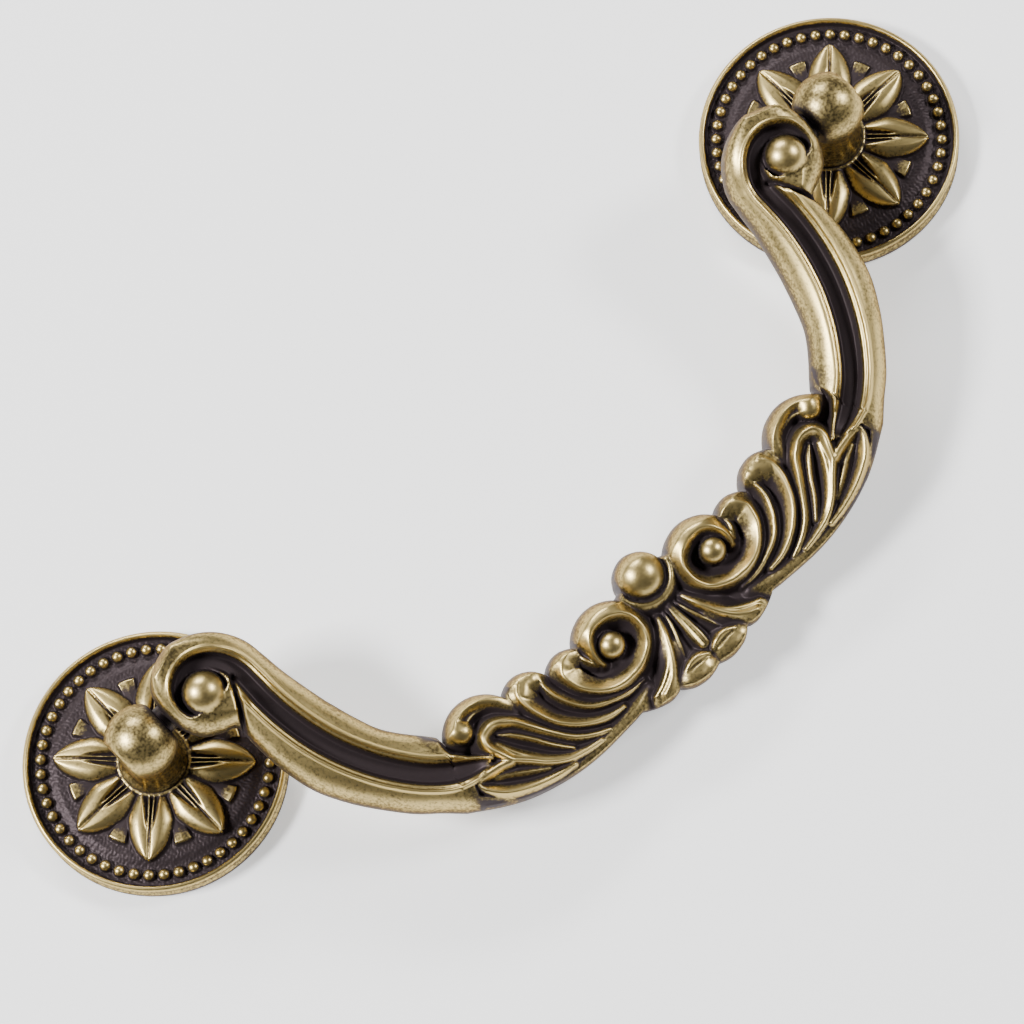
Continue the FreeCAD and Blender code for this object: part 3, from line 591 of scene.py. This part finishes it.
    def bar(self, u: Points, v: Points, across: Points, along: Points) -> Points:
        """Height of the arm and its scroll.

        The groove is cut along its middle with steep walls, a small bead stands on each lip, the
        ground beside the ball is lowered, and the ball is laid in.

        Args:
            u: Positions along the pull.
            v: Positions across it.
            across: Share of the way across the bar, from -1 at the gap to 1.
            along: Share of the way up the arm, from 0 at the carving to 1 at the scroll's end.

        Returns:
            The heights.
        """
        height = self.arm_side + 5.15 * self.dome(across, along)
        strip = np.interp(-v, [2.0, 3.0, 5.0, 7.5, 9.2], [49.6, 50.2, 51.1, 52.5, 53.6])
        beyond = soft_step((u - strip) / 0.7) * soft_step((-2.4 - v) / 1.0)
        away = np.hypot(u - self.ball[0], v - self.ball[1])
        distance, (depth, half), turn = near_curve(u, v, self.groove, 160)
        q = distance / half
        lip = 0.3 * np.exp(-(((q - 1.1) / 0.11) ** 2)) * soft_step((half - 0.7) / 0.5)
        lip = lip * (1 - soft_step(-2 * turn) * soft_step((4.9 - away) / 0.9))
        wall = 1 - 0.2 * soft_step((q - 0.9) / 0.12) - 0.8 * soft_step((q - 0.42) / 0.4)
        carved = height + lip - depth * wall
        height = carved * (1 - beyond) + np.minimum(height - 0.3, 6.3) * beyond
        seam = np.exp(-(((u - strip) / 0.34) ** 2)) * soft_step((-1.7 - v) / 0.8)
        height = height - 1.9 * seam
        inner = soft_step((3.55 - 0.95 * beyond - away) / 0.5)
        height = height * (1 - inner) + np.minimum(height, 4.3) * inner
        radius = self.ball[3]
        dome = np.where(away < radius, self.ball[2] + np.sqrt(np.clip(radius**2 - away**2, 0, None)), LOW)
        return smooth_max(height, dome, 0.12 + 0.5 * beyond)

    def outlines(self) -> tuple[Points, Points, Points, Points]:
        """Both outlines of the right half, with the share of the way up the arm and the side height."""
        cross = np.asarray(self.crossings)
        place = np.linspace(0, 1, self.carving_columns, endpoint=False)
        keys = np.linspace(0, 1, len(cross))
        upper_u = np.interp(place, keys, cross[:, 0])
        lower_u = np.interp(place, keys, cross[:, 1])
        discs = np.asarray(self.upper_discs)
        lift = discs[:, 2, None] ** 2 - (upper_u[None] - discs[:, 0, None]) ** 2
        tops = np.where(lift > 0, discs[:, 1, None] + np.sqrt(np.clip(lift, 0, None)), -99)
        upper = np.stack([upper_u, tops.max(axis=0)], axis=-1)
        curve = smooth_curve(self.lower_outline, 400)
        lower = np.stack([lower_u, np.interp(lower_u, curve[:, 0], curve[:, 1])], axis=-1)
        lines = smooth_curve(self.arm_lines, self.arm_columns)
        inner = np.vstack([upper, lines[:, :2]])
        outer = np.vstack([lower, lines[:, 2:]])
        along = np.concatenate([place - 1, np.linspace(0, 1, self.arm_columns)])
        side = np.interp(along, [-0.2, 0.05], [self.carving_side, self.arm_side])
        return inner, outer, along, side

    def half(self) -> list[tuple[Points, Points, Points]]:
        """Front and back grids of the right half, each with its relief and its distance from the outline."""
        inner, outer, along, side = self.outlines()
        even = np.linspace(0, 1, self.rows)
        t = (0.55 * even + 0.45 * (1 - np.cos(math.pi * even)) / 2)[None, :, None]
        flat = inner[:, None] * (1 - t) + outer[:, None] * t
        u, v = flat[..., 0], flat[..., 1]
        reach = np.hypot(*(outer - inner).T)[:, None]
        share = t[..., 0]
        edge = np.minimum(share, 1 - share) * reach
        far = along[:, None] + 0 * share
        cap = self.carving_side + 6.0 * np.sqrt(1 - (1 - np.clip(edge / 2.7, 0, 1)) ** 2)
        carving = self.carving(u, v)
        bar = self.bar(u, v, 2 * share - 1 + 0 * far, far)
        gap = np.minimum(edge, 0.34 * (55.3 - u) + 0.94 * (6.4 - v))
        crown = self.arm_side + 6.3 * np.sqrt(1 - (1 - np.clip(gap / 2.4, 0, 1)) ** 2)
        bar = smooth_min(bar, crown, 0.2)
        ends = np.asarray(self.arm_end)[::-1]
        bar = bar - 9 * soft_step((np.interp(v, ends[:, 1], ends[:, 0]) - u) / 2.0)
        carving = carving - 9 * soft_step((u - 36.3) / 3.2)
        relief = smooth_max(carving, bar, 0.2)
        height = smooth_max(smooth_min(carving, cap, 0.2), bar, 0.2)
        height = np.maximum(height, side[:, None])
        front_edge = edge < 1e-9
        height = np.where(front_edge, side[:, None], height)
        front = np.stack([u, v, height], axis=-1)
        body = smooth_min(self.arm_side + 5.15 * self.dome(2 * share - 1 + 0 * far, far), crown, 0.2)
        is_arm = soft_step((u - 33.0) / 4.0)
        level = np.clip(relief, self.ground, None) - is_arm * np.clip(body, self.ground, None)
        front_reach = edge

        t = np.array([0, 0.008, 0.03, 0.07, 0.14, 0.25, 0.5, 0.75, 0.86, 0.93, 0.97, 0.992, 1])[None, :, None]
        flat = inner[:, None] * (1 - t) + outer[:, None] * t
        share = t[..., 0]
        edge = np.minimum(share, 1 - share) * reach
        is_arm = soft_step((along + 0.15) / 0.2)[:, None]
        rounding = 1.0 + 2.6 * is_arm
        back = self.carving_back + (self.arm_back - self.carving_back) * is_arm
        fall = np.sqrt(1 - (1 - np.clip(edge / rounding, 0, 1)) ** 2)
        depth = side[:, None] + (back - side[:, None]) * fall
        back_grid = np.stack([flat[..., 0], flat[..., 1], depth], axis=-1)
        return [(front, level, front_reach), (back_grid, 0 * depth, edge)]

    def to_pull(self, points: Points) -> Points:
        """Turn points of the bail's own frame into the pull's, by its slope about the pivot."""
        slope = math.radians(self.rest_slope)
        u, v, w = np.moveaxis(points, -1, 0)
        y = v * math.cos(slope) - w * math.sin(slope)
        z = self.pivot_height + v * math.sin(slope) + w * math.cos(slope)
        return np.stack([u, y, z], axis=-1)

    def casting(self) -> bpy.types.Object:
        """The whole casting: the right half's two grids and their mirror images, joined."""
        points, faces, recess_and_painted_shade, offset = [], [], [], 0
        for grid, relief, edge in self.half():
            whole = np.concatenate([(grid * [-1, 1, 1])[::-1], grid[1:]])
            across = np.concatenate([relief[::-1], relief[1:]])
            tone = recess(across, (5.0, 15.0), (2.0, 4.0)) - 0.16 * soft_step((across - 4.4) / 1.4)
            reach = np.concatenate([edge[::-1], edge[1:]])
            # Close to the outline the value is raised, so the edges come out darker: painted shade where the sides
            # round away
            recess_and_painted_shade.append(np.clip(np.maximum(tone, 0.7 - 0.34 * reach), 0, 1).ravel())
            points.append(self.to_pull(whole).reshape(-1, 3))
            faces.append(grid_faces(whole.shape[0], whole.shape[1]) + offset)
            offset += points[-1].shape[0]
        return make_piece("bail_casting", np.vstack(points), np.vstack(faces), np.concatenate(recess_and_painted_shade))

    def pin(self, side: int) -> bpy.types.Object:
        """One pin: a circle of radii and reaches turned about the pivot axis, closed at both ends."""
        start, stop = self.pin_ends
        bevel = 0.3
        outline = np.array(
            [(start, 0), (start, self.pin_radius), (stop - bevel, self.pin_radius), (stop, self.pin_radius - bevel), (stop, 0)]
        )
        turns = np.linspace(0, 2 * math.pi, 49)[:-1]
        reach, radius = outline[:, 0, None], outline[:, 1, None]
        y, z = radius * np.cos(turns), radius * np.sin(turns)
        points = np.stack([side * reach + 0 * y, y, self.pivot_height + z], axis=-1)
        name = "bail_pin_right" if side > 0 else "bail_pin_left"
        return make_piece(name, points.reshape(-1, 3), grid_faces(len(outline), len(turns), True))


# The rosettes and the posts


@dataclass
class Rosette:
    """A round back plate with a bright rim, a ring of beads, eight petals and eight small leaves."""

    centre: float = 64.0
    radius: float = 18.2
    bore: float = 3.05
    rim_inner: float = 17.35
    rim_top: float = 3.6
    channel_inner: float = 13.4
    channel_floor: float = 2.35
    ground: float = 2.95
    beads: int = 48
    bead_ring: float = 15.78
    bead_radius: float = 0.84
    petals: int = 8
    petal_start: float = 4.6
    petal_tip: float = 13.9
    petal_half: float = 3.6
    petal_rise: float = 1.75
    leaf_start: float = 8.8
    leaf_tip: float = 12.4
    leaf_half: float = 1.6
    leaf_rise: float = 0.8
    columns: int = 720

    def petal(self, along: Points, aside: Points) -> Points:
        """Height of a petal: two swollen halves, two thin ribs in the hollow between them, a pointed tip.

        Args:
            along: Distances from the rosette's middle along the petal.
            aside: Distances from the petal's middle line.

        Returns:
            Heights over the ground, below zero outside the petal.
        """
        s = (along - self.petal_start) / (self.petal_tip - self.petal_start)
        inside = np.clip(s, 0, 1)
        width = self.petal_half * (0.66 + 0.34 * soft_step(inside / 0.45)) * np.clip(1 - inside**2.6, 0.004, 1) ** 0.62
        away = np.abs(aside)
        q = away / np.clip(width, 0.02, None)
        open_ = soft_step((0.62 - inside) / 0.3)
        hollow = np.exp(-((away / (0.3 + 0.8 * np.clip(1 - inside / 0.66, 0, 1))) ** 4)) * open_
        crease = 0.26 * np.exp(-((away / 0.2) ** 2)) * (1 - open_)
        rib = np.exp(-(((away - 0.36 * (1 - 0.8 * inside)) / 0.17) ** 2)) * open_
        swell = np.clip(1 - q**2.6, 0, 1) ** 0.55 * (0.86 + 0.14 * np.clip(q / 0.5, 0, 1))
        body = self.petal_rise * (swell * (1 - 0.66 * hollow) + 0.42 * rib) - crease
        lift = 0.68 + 0.32 * np.sin(math.pi * np.clip(s, 0, 1) ** 0.8)
        height = body * lift * soft_step((s + 0.02) / 0.08)
        return np.where((q < 1) & (s > -0.02) & (s < 1), height, -1.5)

    def leaf(self, along: Points, aside: Points) -> Points:
        """Height of a small leaf: a low tablet that widens outwards to a nearly straight end."""
        s = (along - self.leaf_start) / (self.leaf_tip - self.leaf_start)
        half = self.leaf_half * (0.62 + 0.38 * np.clip(s, 0, 1)) - 0.5 * np.clip(s - 0.86, 0, 1) / 0.14
        edge = np.minimum(half - np.abs(aside), (self.leaf_tip - 0.1 * aside**2 - along))
        top = self.leaf_rise * (0.8 + 0.2 * np.clip(s, 0, 1)) - 0.07 * np.abs(aside)
        return np.where((edge > 0) & (s > -0.2), np.minimum(edge * 1.7, top), -1.5)

    def plain(self, radius: Points) -> Points:
        """Height of the face without its ornaments: a gently falling disc, then the beads' channel."""
        disc = self.ground + 0.1 - 0.25 * soft_step((radius - 9.0) / 4.4)
        into = soft_step((radius - self.channel_inner) / 1.5)
        return disc * (1 - into) + self.channel_floor * into

    def relief(self, radius: Points, angle: Points) -> Points:
        """Height of the front face over the back, from the hub out to the rim."""
        height = self.plain(radius)
        x, y = radius * np.cos(angle), radius * np.sin(angle)
        stipple = np.sin(5.1 * x + 2.3 * np.sin(3.7 * y)) * np.sin(4.7 * y + 2.1 * np.sin(4.1 * x))
        height = height + 0.045 * stipple + 0.02 * np.sin(9.7 * x + 3 * y) * np.sin(8.9 * y - 2 * x)
        step = 2 * math.pi / self.petals
        aim = (angle + step / 2) % step - step / 2
        between = angle % step - step / 2
        leaf = self.leaf(radius * np.cos(between), radius * np.sin(between))
        height = smooth_max(height, self.ground - 0.15 + leaf, 0.08)
        petal = self.petal(radius * np.cos(aim), radius * np.sin(aim))
        height = smooth_max(height, self.ground + petal, 0.1)
        hub = 4.0 - 3.0 * soft_step((radius - 5.0) / 1.2)
        height = smooth_max(height, hub, 0.2)
        rim = self.rim_top - 0.5 * np.clip(1 - (self.radius - radius) / 0.45, 0, 1) ** 2
        rim = rim - 0.4 * soft_step((17.65 - radius) / 0.5)
        out = soft_step((radius - self.rim_inner + 0.22) / 0.3)
        height = height * (1 - out) + rim * out
        pitch = 2 * math.pi / self.beads
        turn = (angle + pitch / 2) % pitch - pitch / 2
        away = np.hypot(radius * np.cos(turn) - self.bead_ring, radius * np.sin(turn))
        bead = np.sqrt(np.clip(self.bead_radius**2 - away**2, 0, None)) + self.channel_floor + 0.25
        return np.where(away < self.bead_radius, np.maximum(height, bead), height)

    def piece(self, side: int) -> bpy.types.Object:
        """One rosette: the relief as a polar grid, with its side wall, flat back and bore."""
        angle = np.linspace(0, 2 * math.pi, self.columns + 1)[:-1][None, :]
        inner = np.linspace(self.bore, 4.6, 3)
        radii = np.concatenate(
            [inner, np.linspace(4.75, 14.5, 62), np.linspace(14.6, 17.05, 32), np.linspace(17.12, self.radius, 10)]
        )[:, None]
        z = self.relief(radii + 0 * angle, angle + 0 * radii)
        x, y = radii * np.cos(angle), radii * np.sin(angle)
        front = np.stack([x, y, z], axis=-1)
        last = float(z[-1].mean())
        wall = [(18.2, last - 0.25), (18.05, last - 0.45), (17.95, 1.75), (18.0, 1.6), (18.2, 1.4), (18.2, 0.25)]
        wall += [(18.0, 0.0), (self.bore, 0.0), (self.bore, float(z[0].mean()))]
        wall = np.array(wall)
        rest = np.stack(
            [wall[:, :1] * np.cos(angle), wall[:, :1] * np.sin(angle), wall[:, 1:] + 0 * angle], axis=-1
        )
        rest[-1] = front[0]
        points = np.concatenate([front, rest])
        points = points * [side, 1, 1] + [side * self.centre, 0, 0]
        rise = z - self.plain(radii)
        low = 0.28 - 0.4 * soft_step((rise - 0.12) / 0.9) + 0.2 * soft_step((17.95 - radii) / 0.3) * (radii > 16.9)
        depth = np.concatenate([low + recess(z, (9.0, 11.0), (2.5, 3.0), True), np.full(rest.shape[:2], 0.45)])
        name = "rosette_plate_right" if side > 0 else "rosette_plate_left"
        faces = grid_faces(points.shape[0], points.shape[1], True)
        return make_piece(name, points.reshape(-1, 3), faces, depth.ravel())


@dataclass
class Post:
    """A post that carries one end of the bail: a stem with a ball head flattened at both sides."""

    centre: float = 64.0
    head_height: float = 15.0
    head_radius: float = 4.95
    flat: float = 3.75
    soft: float = 0.35
    stem: float = 3.7
    collar: float = 4.7
    socket: float = 2.06
    socket_depth: float = 4.8
    outline: Curve = field(
        default_factory=lambda: [(0, 9), (1.65, 9), (1.65, 0), (3.0, 0), (3.0, 3.72), (4.5, 3.72), (4.7, 3.95), (4.7, 4.4)]
    )

    def piece(self, side: int) -> bpy.types.Object:
        """One post: an outline turned about its axis, pressed flat at the sides, with its socket.

        Past the outline's own corners come the neck, drawn by a cosine, and the head's circle.
        """
        neck = np.linspace(0, 1, 14)[:, None]
        low = math.radians(-42)
        head = np.linspace(low, math.pi / 2, 40)[:, None]
        reach, level = self.head_radius * math.cos(low), self.head_height + self.head_radius * math.sin(low)
        first = np.hstack([self.stem + (4.55 - self.stem) * (1 - neck) ** 3, 4.55 + (level - 5.35) * neck])
        blend = np.linspace(0.1, 1, 6)[:, None]
        second = np.hstack([self.stem + (reach - self.stem) * (1 - np.cos(blend * math.pi / 2)), level - 0.8 + 0.8 * blend])
        third = np.hstack([self.head_radius * np.cos(head[1:]), self.head_height + self.head_radius * np.sin(head[1:])])
        outline = np.vstack([np.array(self.outline, dtype=float), first, second, third])
        turns = np.linspace(0, 2 * math.pi, 97)[:-1]
        x = outline[:, :1] * np.cos(turns)
        y = outline[:, :1] * np.sin(turns)
        z = outline[:, 1:] + 0 * turns
        pressed = np.sign(x) * smooth_min(np.abs(x), np.full(x.shape, self.flat), self.soft)
        x = np.where(z > 4.6, pressed, x)
        points = np.stack([x + side * self.centre, y, z], axis=-1)
        name = "post_turned_right" if side > 0 else "post_turned_left"
        piece = make_piece(name, points.reshape(-1, 3), grid_faces(len(outline), len(turns), True))
        self.bore_socket(piece, side)
        return piece

    def bore_socket(self, piece: bpy.types.Object, side: int) -> None:
        """Cut the bail pin's socket into the post's inner flat."""
        turns = np.linspace(0, 2 * math.pi, 41)[:-1]
        start, stop = self.centre - self.flat - 1, self.centre - self.flat + self.socket_depth
        rows = np.array([(start, 0), (start, self.socket), (stop, self.socket), (stop, 0)], dtype=float)
        y, z = rows[:, 1:] * np.cos(turns), rows[:, 1:] * np.sin(turns)
        points = np.stack([side * rows[:, :1] + 0 * y, y, self.head_height + z], axis=-1)
        cutter = make_piece("socket_cutter", points.reshape(-1, 3), grid_faces(4, 40, True))
        cut = piece.modifiers.new("socket", "BOOLEAN")
        cut.operation = "DIFFERENCE"
        cut.object = cutter
        cut.solver = "EXACT"
        graph = bpy.context.evaluated_depsgraph_get()
        mesh = bpy.data.meshes.new_from_object(piece.evaluated_get(graph))
        piece.modifiers.clear()
        piece.data = mesh
        bpy.data.objects.remove(cutter)


# The finish


class Signal:
    """A value or a colour inside a material, with Python's own arithmetic."""

    def __init__(self, graph: "Graph", socket: bpy.types.NodeSocket) -> None:
        """Wrap the output socket of one node of the graph."""
        self.graph = graph
        self.socket = socket

    def math(self, operation: str, *others: "Signal | float", clamp: bool = False) -> "Signal":
        """Join this value and others in one Math node."""
        return self.graph.value(operation, self, *others, clamp=clamp)

    def __add__(self, other: "Signal | float") -> "Signal":
        """Sum."""
        return self.math("ADD", other)

    def __sub__(self, other: "Signal | float") -> "Signal":
        """Difference."""
        return self.math("SUBTRACT", other)

    def __mul__(self, other: "Signal | float") -> "Signal":
        """Product."""
        return self.math("MULTIPLY", other)

    def __truediv__(self, other: "Signal | float") -> "Signal":
        """Quotient."""
        return self.math("DIVIDE", other)

    def __pow__(self, other: "Signal | float") -> "Signal":
        """Power."""
        return self.math("POWER", other)

    def __radd__(self, other: float) -> "Signal":
        """Sum with a number on the left."""
        return self.graph.value("ADD", other, self)

    def __rsub__(self, other: float) -> "Signal":
        """Difference from a number on the left."""
        return self.graph.value("SUBTRACT", other, self)

    def __rmul__(self, other: float) -> "Signal":
        """Product with a number on the left."""
        return self.graph.value("MULTIPLY", other, self)

    def __rtruediv__(self, other: float) -> "Signal":
        """Quotient of a number on the left."""
        return self.graph.value("DIVIDE", other, self)

    def clamped(self) -> "Signal":
        """The value kept between 0 and 1."""
        return self.math("ADD", 0.0, clamp=True)

    def ramp(self, start: float, stop: float) -> "Signal":
        """Rise smoothly from 0 at start to 1 at stop."""
        x = ((self - start) / (stop - start)).clamped()
        return x * x * (3.0 - 2.0 * x)


class Graph:
    """The node tree of one material."""

    def __init__(self, name: str) -> None:
        """Start an empty material of that name."""
        self.material = bpy.data.materials.new(name)
        self.material.use_nodes = True
        self.tree = self.material.node_tree
        self.tree.nodes.clear()

    def node(self, kind: str, settings: dict | None = None, inputs: dict | None = None) -> bpy.types.Node:
        """Add a node: its type, then its settings, then its sockets by identifier or by position.

        Args:
            kind: Blender's type name of the node.
            settings: Properties set before any socket.
            inputs: Signals to link, or numbers and colours to set.

        Returns:
            The new node.
        """
        made = self.tree.nodes.new(kind)
        for key, value in (settings or {}).items():
            setattr(made, key, value)
        for key, value in (inputs or {}).items():
            if isinstance(key, int):
                socket = made.inputs[key]
            else:
                socket = next(s for s in made.inputs if key in (s.identifier, s.name))
            if isinstance(value, Signal):
                self.tree.links.new(value.socket, socket)
            else:
                socket.default_value = value
        return made

    def value(self, operation: str, *terms: Signal | float, clamp: bool = False) -> Signal:
        """One Math node."""
        made = self.node(
            "ShaderNodeMath", {"operation": operation, "use_clamp": clamp}, dict(enumerate(terms))
        )
        return Signal(self, made.outputs[0])

    def mix(self, factor: Signal | float, first: Signal | tuple, second: Signal | tuple) -> Signal:
        """Mix two colours."""
        made = self.node(
            "ShaderNodeMix",
            {"data_type": "RGBA", "clamp_factor": True},
            {"Factor_Float": factor, "A_Color": first, "B_Color": second},
        )
        return Signal(self, next(s for s in made.outputs if s.identifier == "Result_Color"))

    def noise(self, scale: float, detail: float = 3.0, stretch: tuple | None = None) -> Signal:
        """Noise over the object's own coordinates, with the size of its grains as 1 / scale metres."""
        place = Signal(self, self.node("ShaderNodeTexCoord").outputs["Object"])
        if stretch:
            scaled = self.node("ShaderNodeVectorMath", {"operation": "MULTIPLY"}, {0: place, 1: stretch})
            place = Signal(self, scaled.outputs[0])
        made = self.node("ShaderNodeTexNoise", None, {"Vector": place, "Scale": scale, "Detail": detail})
        return Signal(self, made.outputs[0])

    def attribute(self, name: str) -> Signal:
        """A number that the mesh carries at its corners."""
        made = self.node("ShaderNodeAttribute", {"attribute_name": name})
        return Signal(self, made.outputs["Fac"])

    def crevice(self, distance: float, samples: int = 12) -> Signal:
        """How open the surface is, from 0 deep in a crevice to 1 in the open."""
        made = self.node("ShaderNodeAmbientOcclusion", {"samples": samples}, {"Distance": distance})
        return Signal(self, made.outputs["AO"])


@dataclass(frozen=True)
class AntiqueBrass:
    """Brass with a dark patina left in the recesses and rubbed off the crests.

    Colours are linear. Wear is where the rubbed metal starts and ends on the scale of exposure. Over the rubbed metal,
    a painted highlight passes from the mid colour to the crest colour on the most open places, on top of their real
    polish.
    """

    name: str
    # crest: the lightest rubbed metal, also used as the painted highlight colour
    crest: tuple = (0.60, 0.46, 0.19, 1.0)
    mid: tuple = (0.19, 0.145, 0.064, 1.0)
    patina: tuple = (0.036, 0.027, 0.029, 1.0)
    wear: tuple[float, float] = (0.36, 0.76)
    reach: float = 0.0032
    roughness: float = 0.36
    patina_roughness: float = 0.46
    edge_tint: tuple = (0.42, 0.35, 0.37, 1.0)
    speckle: float = 0.36

    def material(self) -> bpy.types.Material:
        """Build the material."""
        graph = Graph(self.name)
        broad = graph.noise(170.0, 4.0)
        fine = graph.noise(2600.0, 2.0)
        # The recess attribute holds the hollows, where patina stays, and on the bail also painted shade along its
        # outline
        raised = 1.0 - graph.attribute("recess")
        exposure = graph.crevice(self.reach) * raised * 1.7
        exposure = exposure + (broad - 0.5) * 0.16 + (fine - 0.5) * self.speckle
        rubbed = exposure.ramp(*self.wear)
        # Painted highlight: the most open places are polished, and are lightened further to stand in for light falling
        # on the crests
        polish_and_painted_highlight = (exposure + (broad - 0.5) * 0.5 + (fine - 0.5) * 1.15).ramp(0.5, 1.2)
        colour = graph.mix(rubbed, self.patina, graph.mix(polish_and_painted_highlight, self.mid, self.crest))
        rough = self.patina_roughness + (self.roughness - self.patina_roughness) * rubbed + (fine - 0.5) * 0.16
        bump = graph.node(
            "ShaderNodeBump", None, {"Strength": 0.35, "Distance": 0.00004, "Height": fine * 0.6 + broad}
        )
        shader = graph.node(
            "ShaderNodeBsdfPrincipled",
            None,
            {
                "Base Color": colour,
                "Roughness": rough,
                "Metallic": 0.35 + rubbed * 0.65,
                "Specular Tint": self.edge_tint,
                "Normal": Signal(graph, bump.outputs[0]),
            },
        )
        graph.node("ShaderNodeOutputMaterial", None, {"Surface": Signal(graph, shader.outputs[0])})
        return graph.material


@dataclass(frozen=True)
class PalePaint:
    """The matt paint of the studio floor."""

    name: str = "pale_floor"
    colour: tuple = (0.9, 0.9, 0.9, 1.0)
    glow: float = 0.8

    def material(self) -> bpy.types.Material:
        """Build the material."""
        graph = Graph(self.name)
        shader = graph.node("ShaderNodeBsdfPrincipled", None, {"Base Color": self.colour, "Roughness": 0.9, "Emission Color": self.colour, "Emission Strength": self.glow})
        graph.node("ShaderNodeOutputMaterial", None, {"Surface": Signal(graph, shader.outputs[0])})
        return graph.material


# The studio


class Lamp(Enum):
    """The studio's soft lights: where each stands and aims, its size in metres and its power."""

    KEY = ((-0.75, 0.45, 0.95), (0, 0, 0), 0.34, 0.22, 27.0)
    FILL = ((0.85, -0.35, 0.8), (0, 0, 0), 0.3, 0.2, 9.0)
    TOP = ((0.35, 0.95, 0.75), (0, 0, 0), 0.6, 0.2, 11.0)


@dataclass
class Studio:
    """A pale floor, soft lights and the camera."""

    focal: float = 155.02
    sensor: float = 36.0
    place: tuple[float, float, float] = (-87.221, -162.171, 583.742)
    right: tuple[float, float, float] = (0.726732, -0.682506, -0.077762)
    down: tuple[float, float, float] = (-0.673409, -0.685515, -0.276748)
    ahead: tuple[float, float, float] = (0.135575, 0.253487, -0.957791)
    floor_size: float = 1.6
    world: float = 0.08

    def floor(self) -> None:
        """Lay the floor the rosettes' backs rest on."""
        half = self.floor_size / MM / 2
        corners = np.array([(-half, -half), (half, -half), (half, half), (-half, half)])
        points = np.hstack([corners, np.full((4, 1), -0.05)])
        floor = make_piece("studio_floor", points, np.array([[0, 1, 2, 3]]), None, False)
        floor.data.materials.append(PalePaint().material())

    def lights(self) -> None:
        """Hang the lights and set the surrounding light."""
        for lamp in Lamp:
            place, aim, width, depth, power = lamp.value
            light = bpy.data.lights.new(lamp.name.lower(), "AREA")
            light.shape = "RECTANGLE"
            light.size, light.size_y, light.energy = width, depth, power
            holder = bpy.data.objects.new(lamp.name.lower(), light)
            back = Matrix.Translation(place)
            direction = (Matrix.Translation(aim).translation - back.translation).to_track_quat("-Z", "Y")
            holder.matrix_world = back @ direction.to_matrix().to_4x4()
            bpy.context.scene.collection.objects.link(holder)
        world = bpy.data.worlds.new("studio")
        world.use_nodes = True
        background = world.node_tree.nodes["Background"]
        background.inputs[0].default_value = (1.0, 1.0, 1.0, 1.0)
        background.inputs[1].default_value = self.world
        bpy.context.scene.world = world

    def camera(self) -> None:
        """Stand the camera where the photograph was taken."""
        lens = bpy.data.cameras.new("camera")
        lens.lens, lens.sensor_width = self.focal, self.sensor
        lens.clip_start = 0.01
        holder = bpy.data.objects.new("camera", lens)
        x, y, z = np.array(self.right), -np.array(self.down), -np.array(self.ahead)
        turn = np.eye(4)
        turn[:3, :3] = np.stack([x, y, z], axis=-1)
        turn[:3, 3] = np.array(self.place) * MM
        holder.matrix_world = Matrix(turn.tolist())
        bpy.context.scene.collection.objects.link(holder)
        bpy.context.scene.camera = holder


# Putting it together


class Part(Enum):
    """The solids' names, with the body each belongs to."""

    BAIL = ("bail", "handle")
    ROSETTE_LEFT = ("rosette_left", "hardware")
    ROSETTE_RIGHT = ("rosette_right", "hardware")
    POST_LEFT = ("post_left", "hardware")
    POST_RIGHT = ("post_right", "hardware")


def dress(piece: bpy.types.Object, part: Part, material: bpy.types.Material) -> None:
    """Give a piece its finish and its body, and hide the solid it stands for."""
    piece.data.materials.clear()
    piece.data.materials.append(material)
    node, body = part.value
    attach(piece, body)
    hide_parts(node)


def main() -> None:
    """Build the pull and the studio."""
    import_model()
    Studio().floor()
    Studio().lights()
    Studio().camera()
    bright = AntiqueBrass("antique_brass_bail").material()
    plate = AntiqueBrass("antique_brass_rosette", wear=(0.5, 0.92), reach=0.0026, speckle=0.5).material()
    bail, rosette, post = Bail(), Rosette(), Post()
    dress(bail.casting(), Part.BAIL, bright)
    for side in (-1, 1):
        dress(bail.pin(side), Part.BAIL, bright)
        dress(rosette.piece(side), Part.ROSETTE_RIGHT if side > 0 else Part.ROSETTE_LEFT, plate)
        dress(post.piece(side), Part.POST_RIGHT if side > 0 else Part.POST_LEFT, bright)


if __name__ == "__main__":
    logging.basicConfig(level=logging.INFO)
    main()
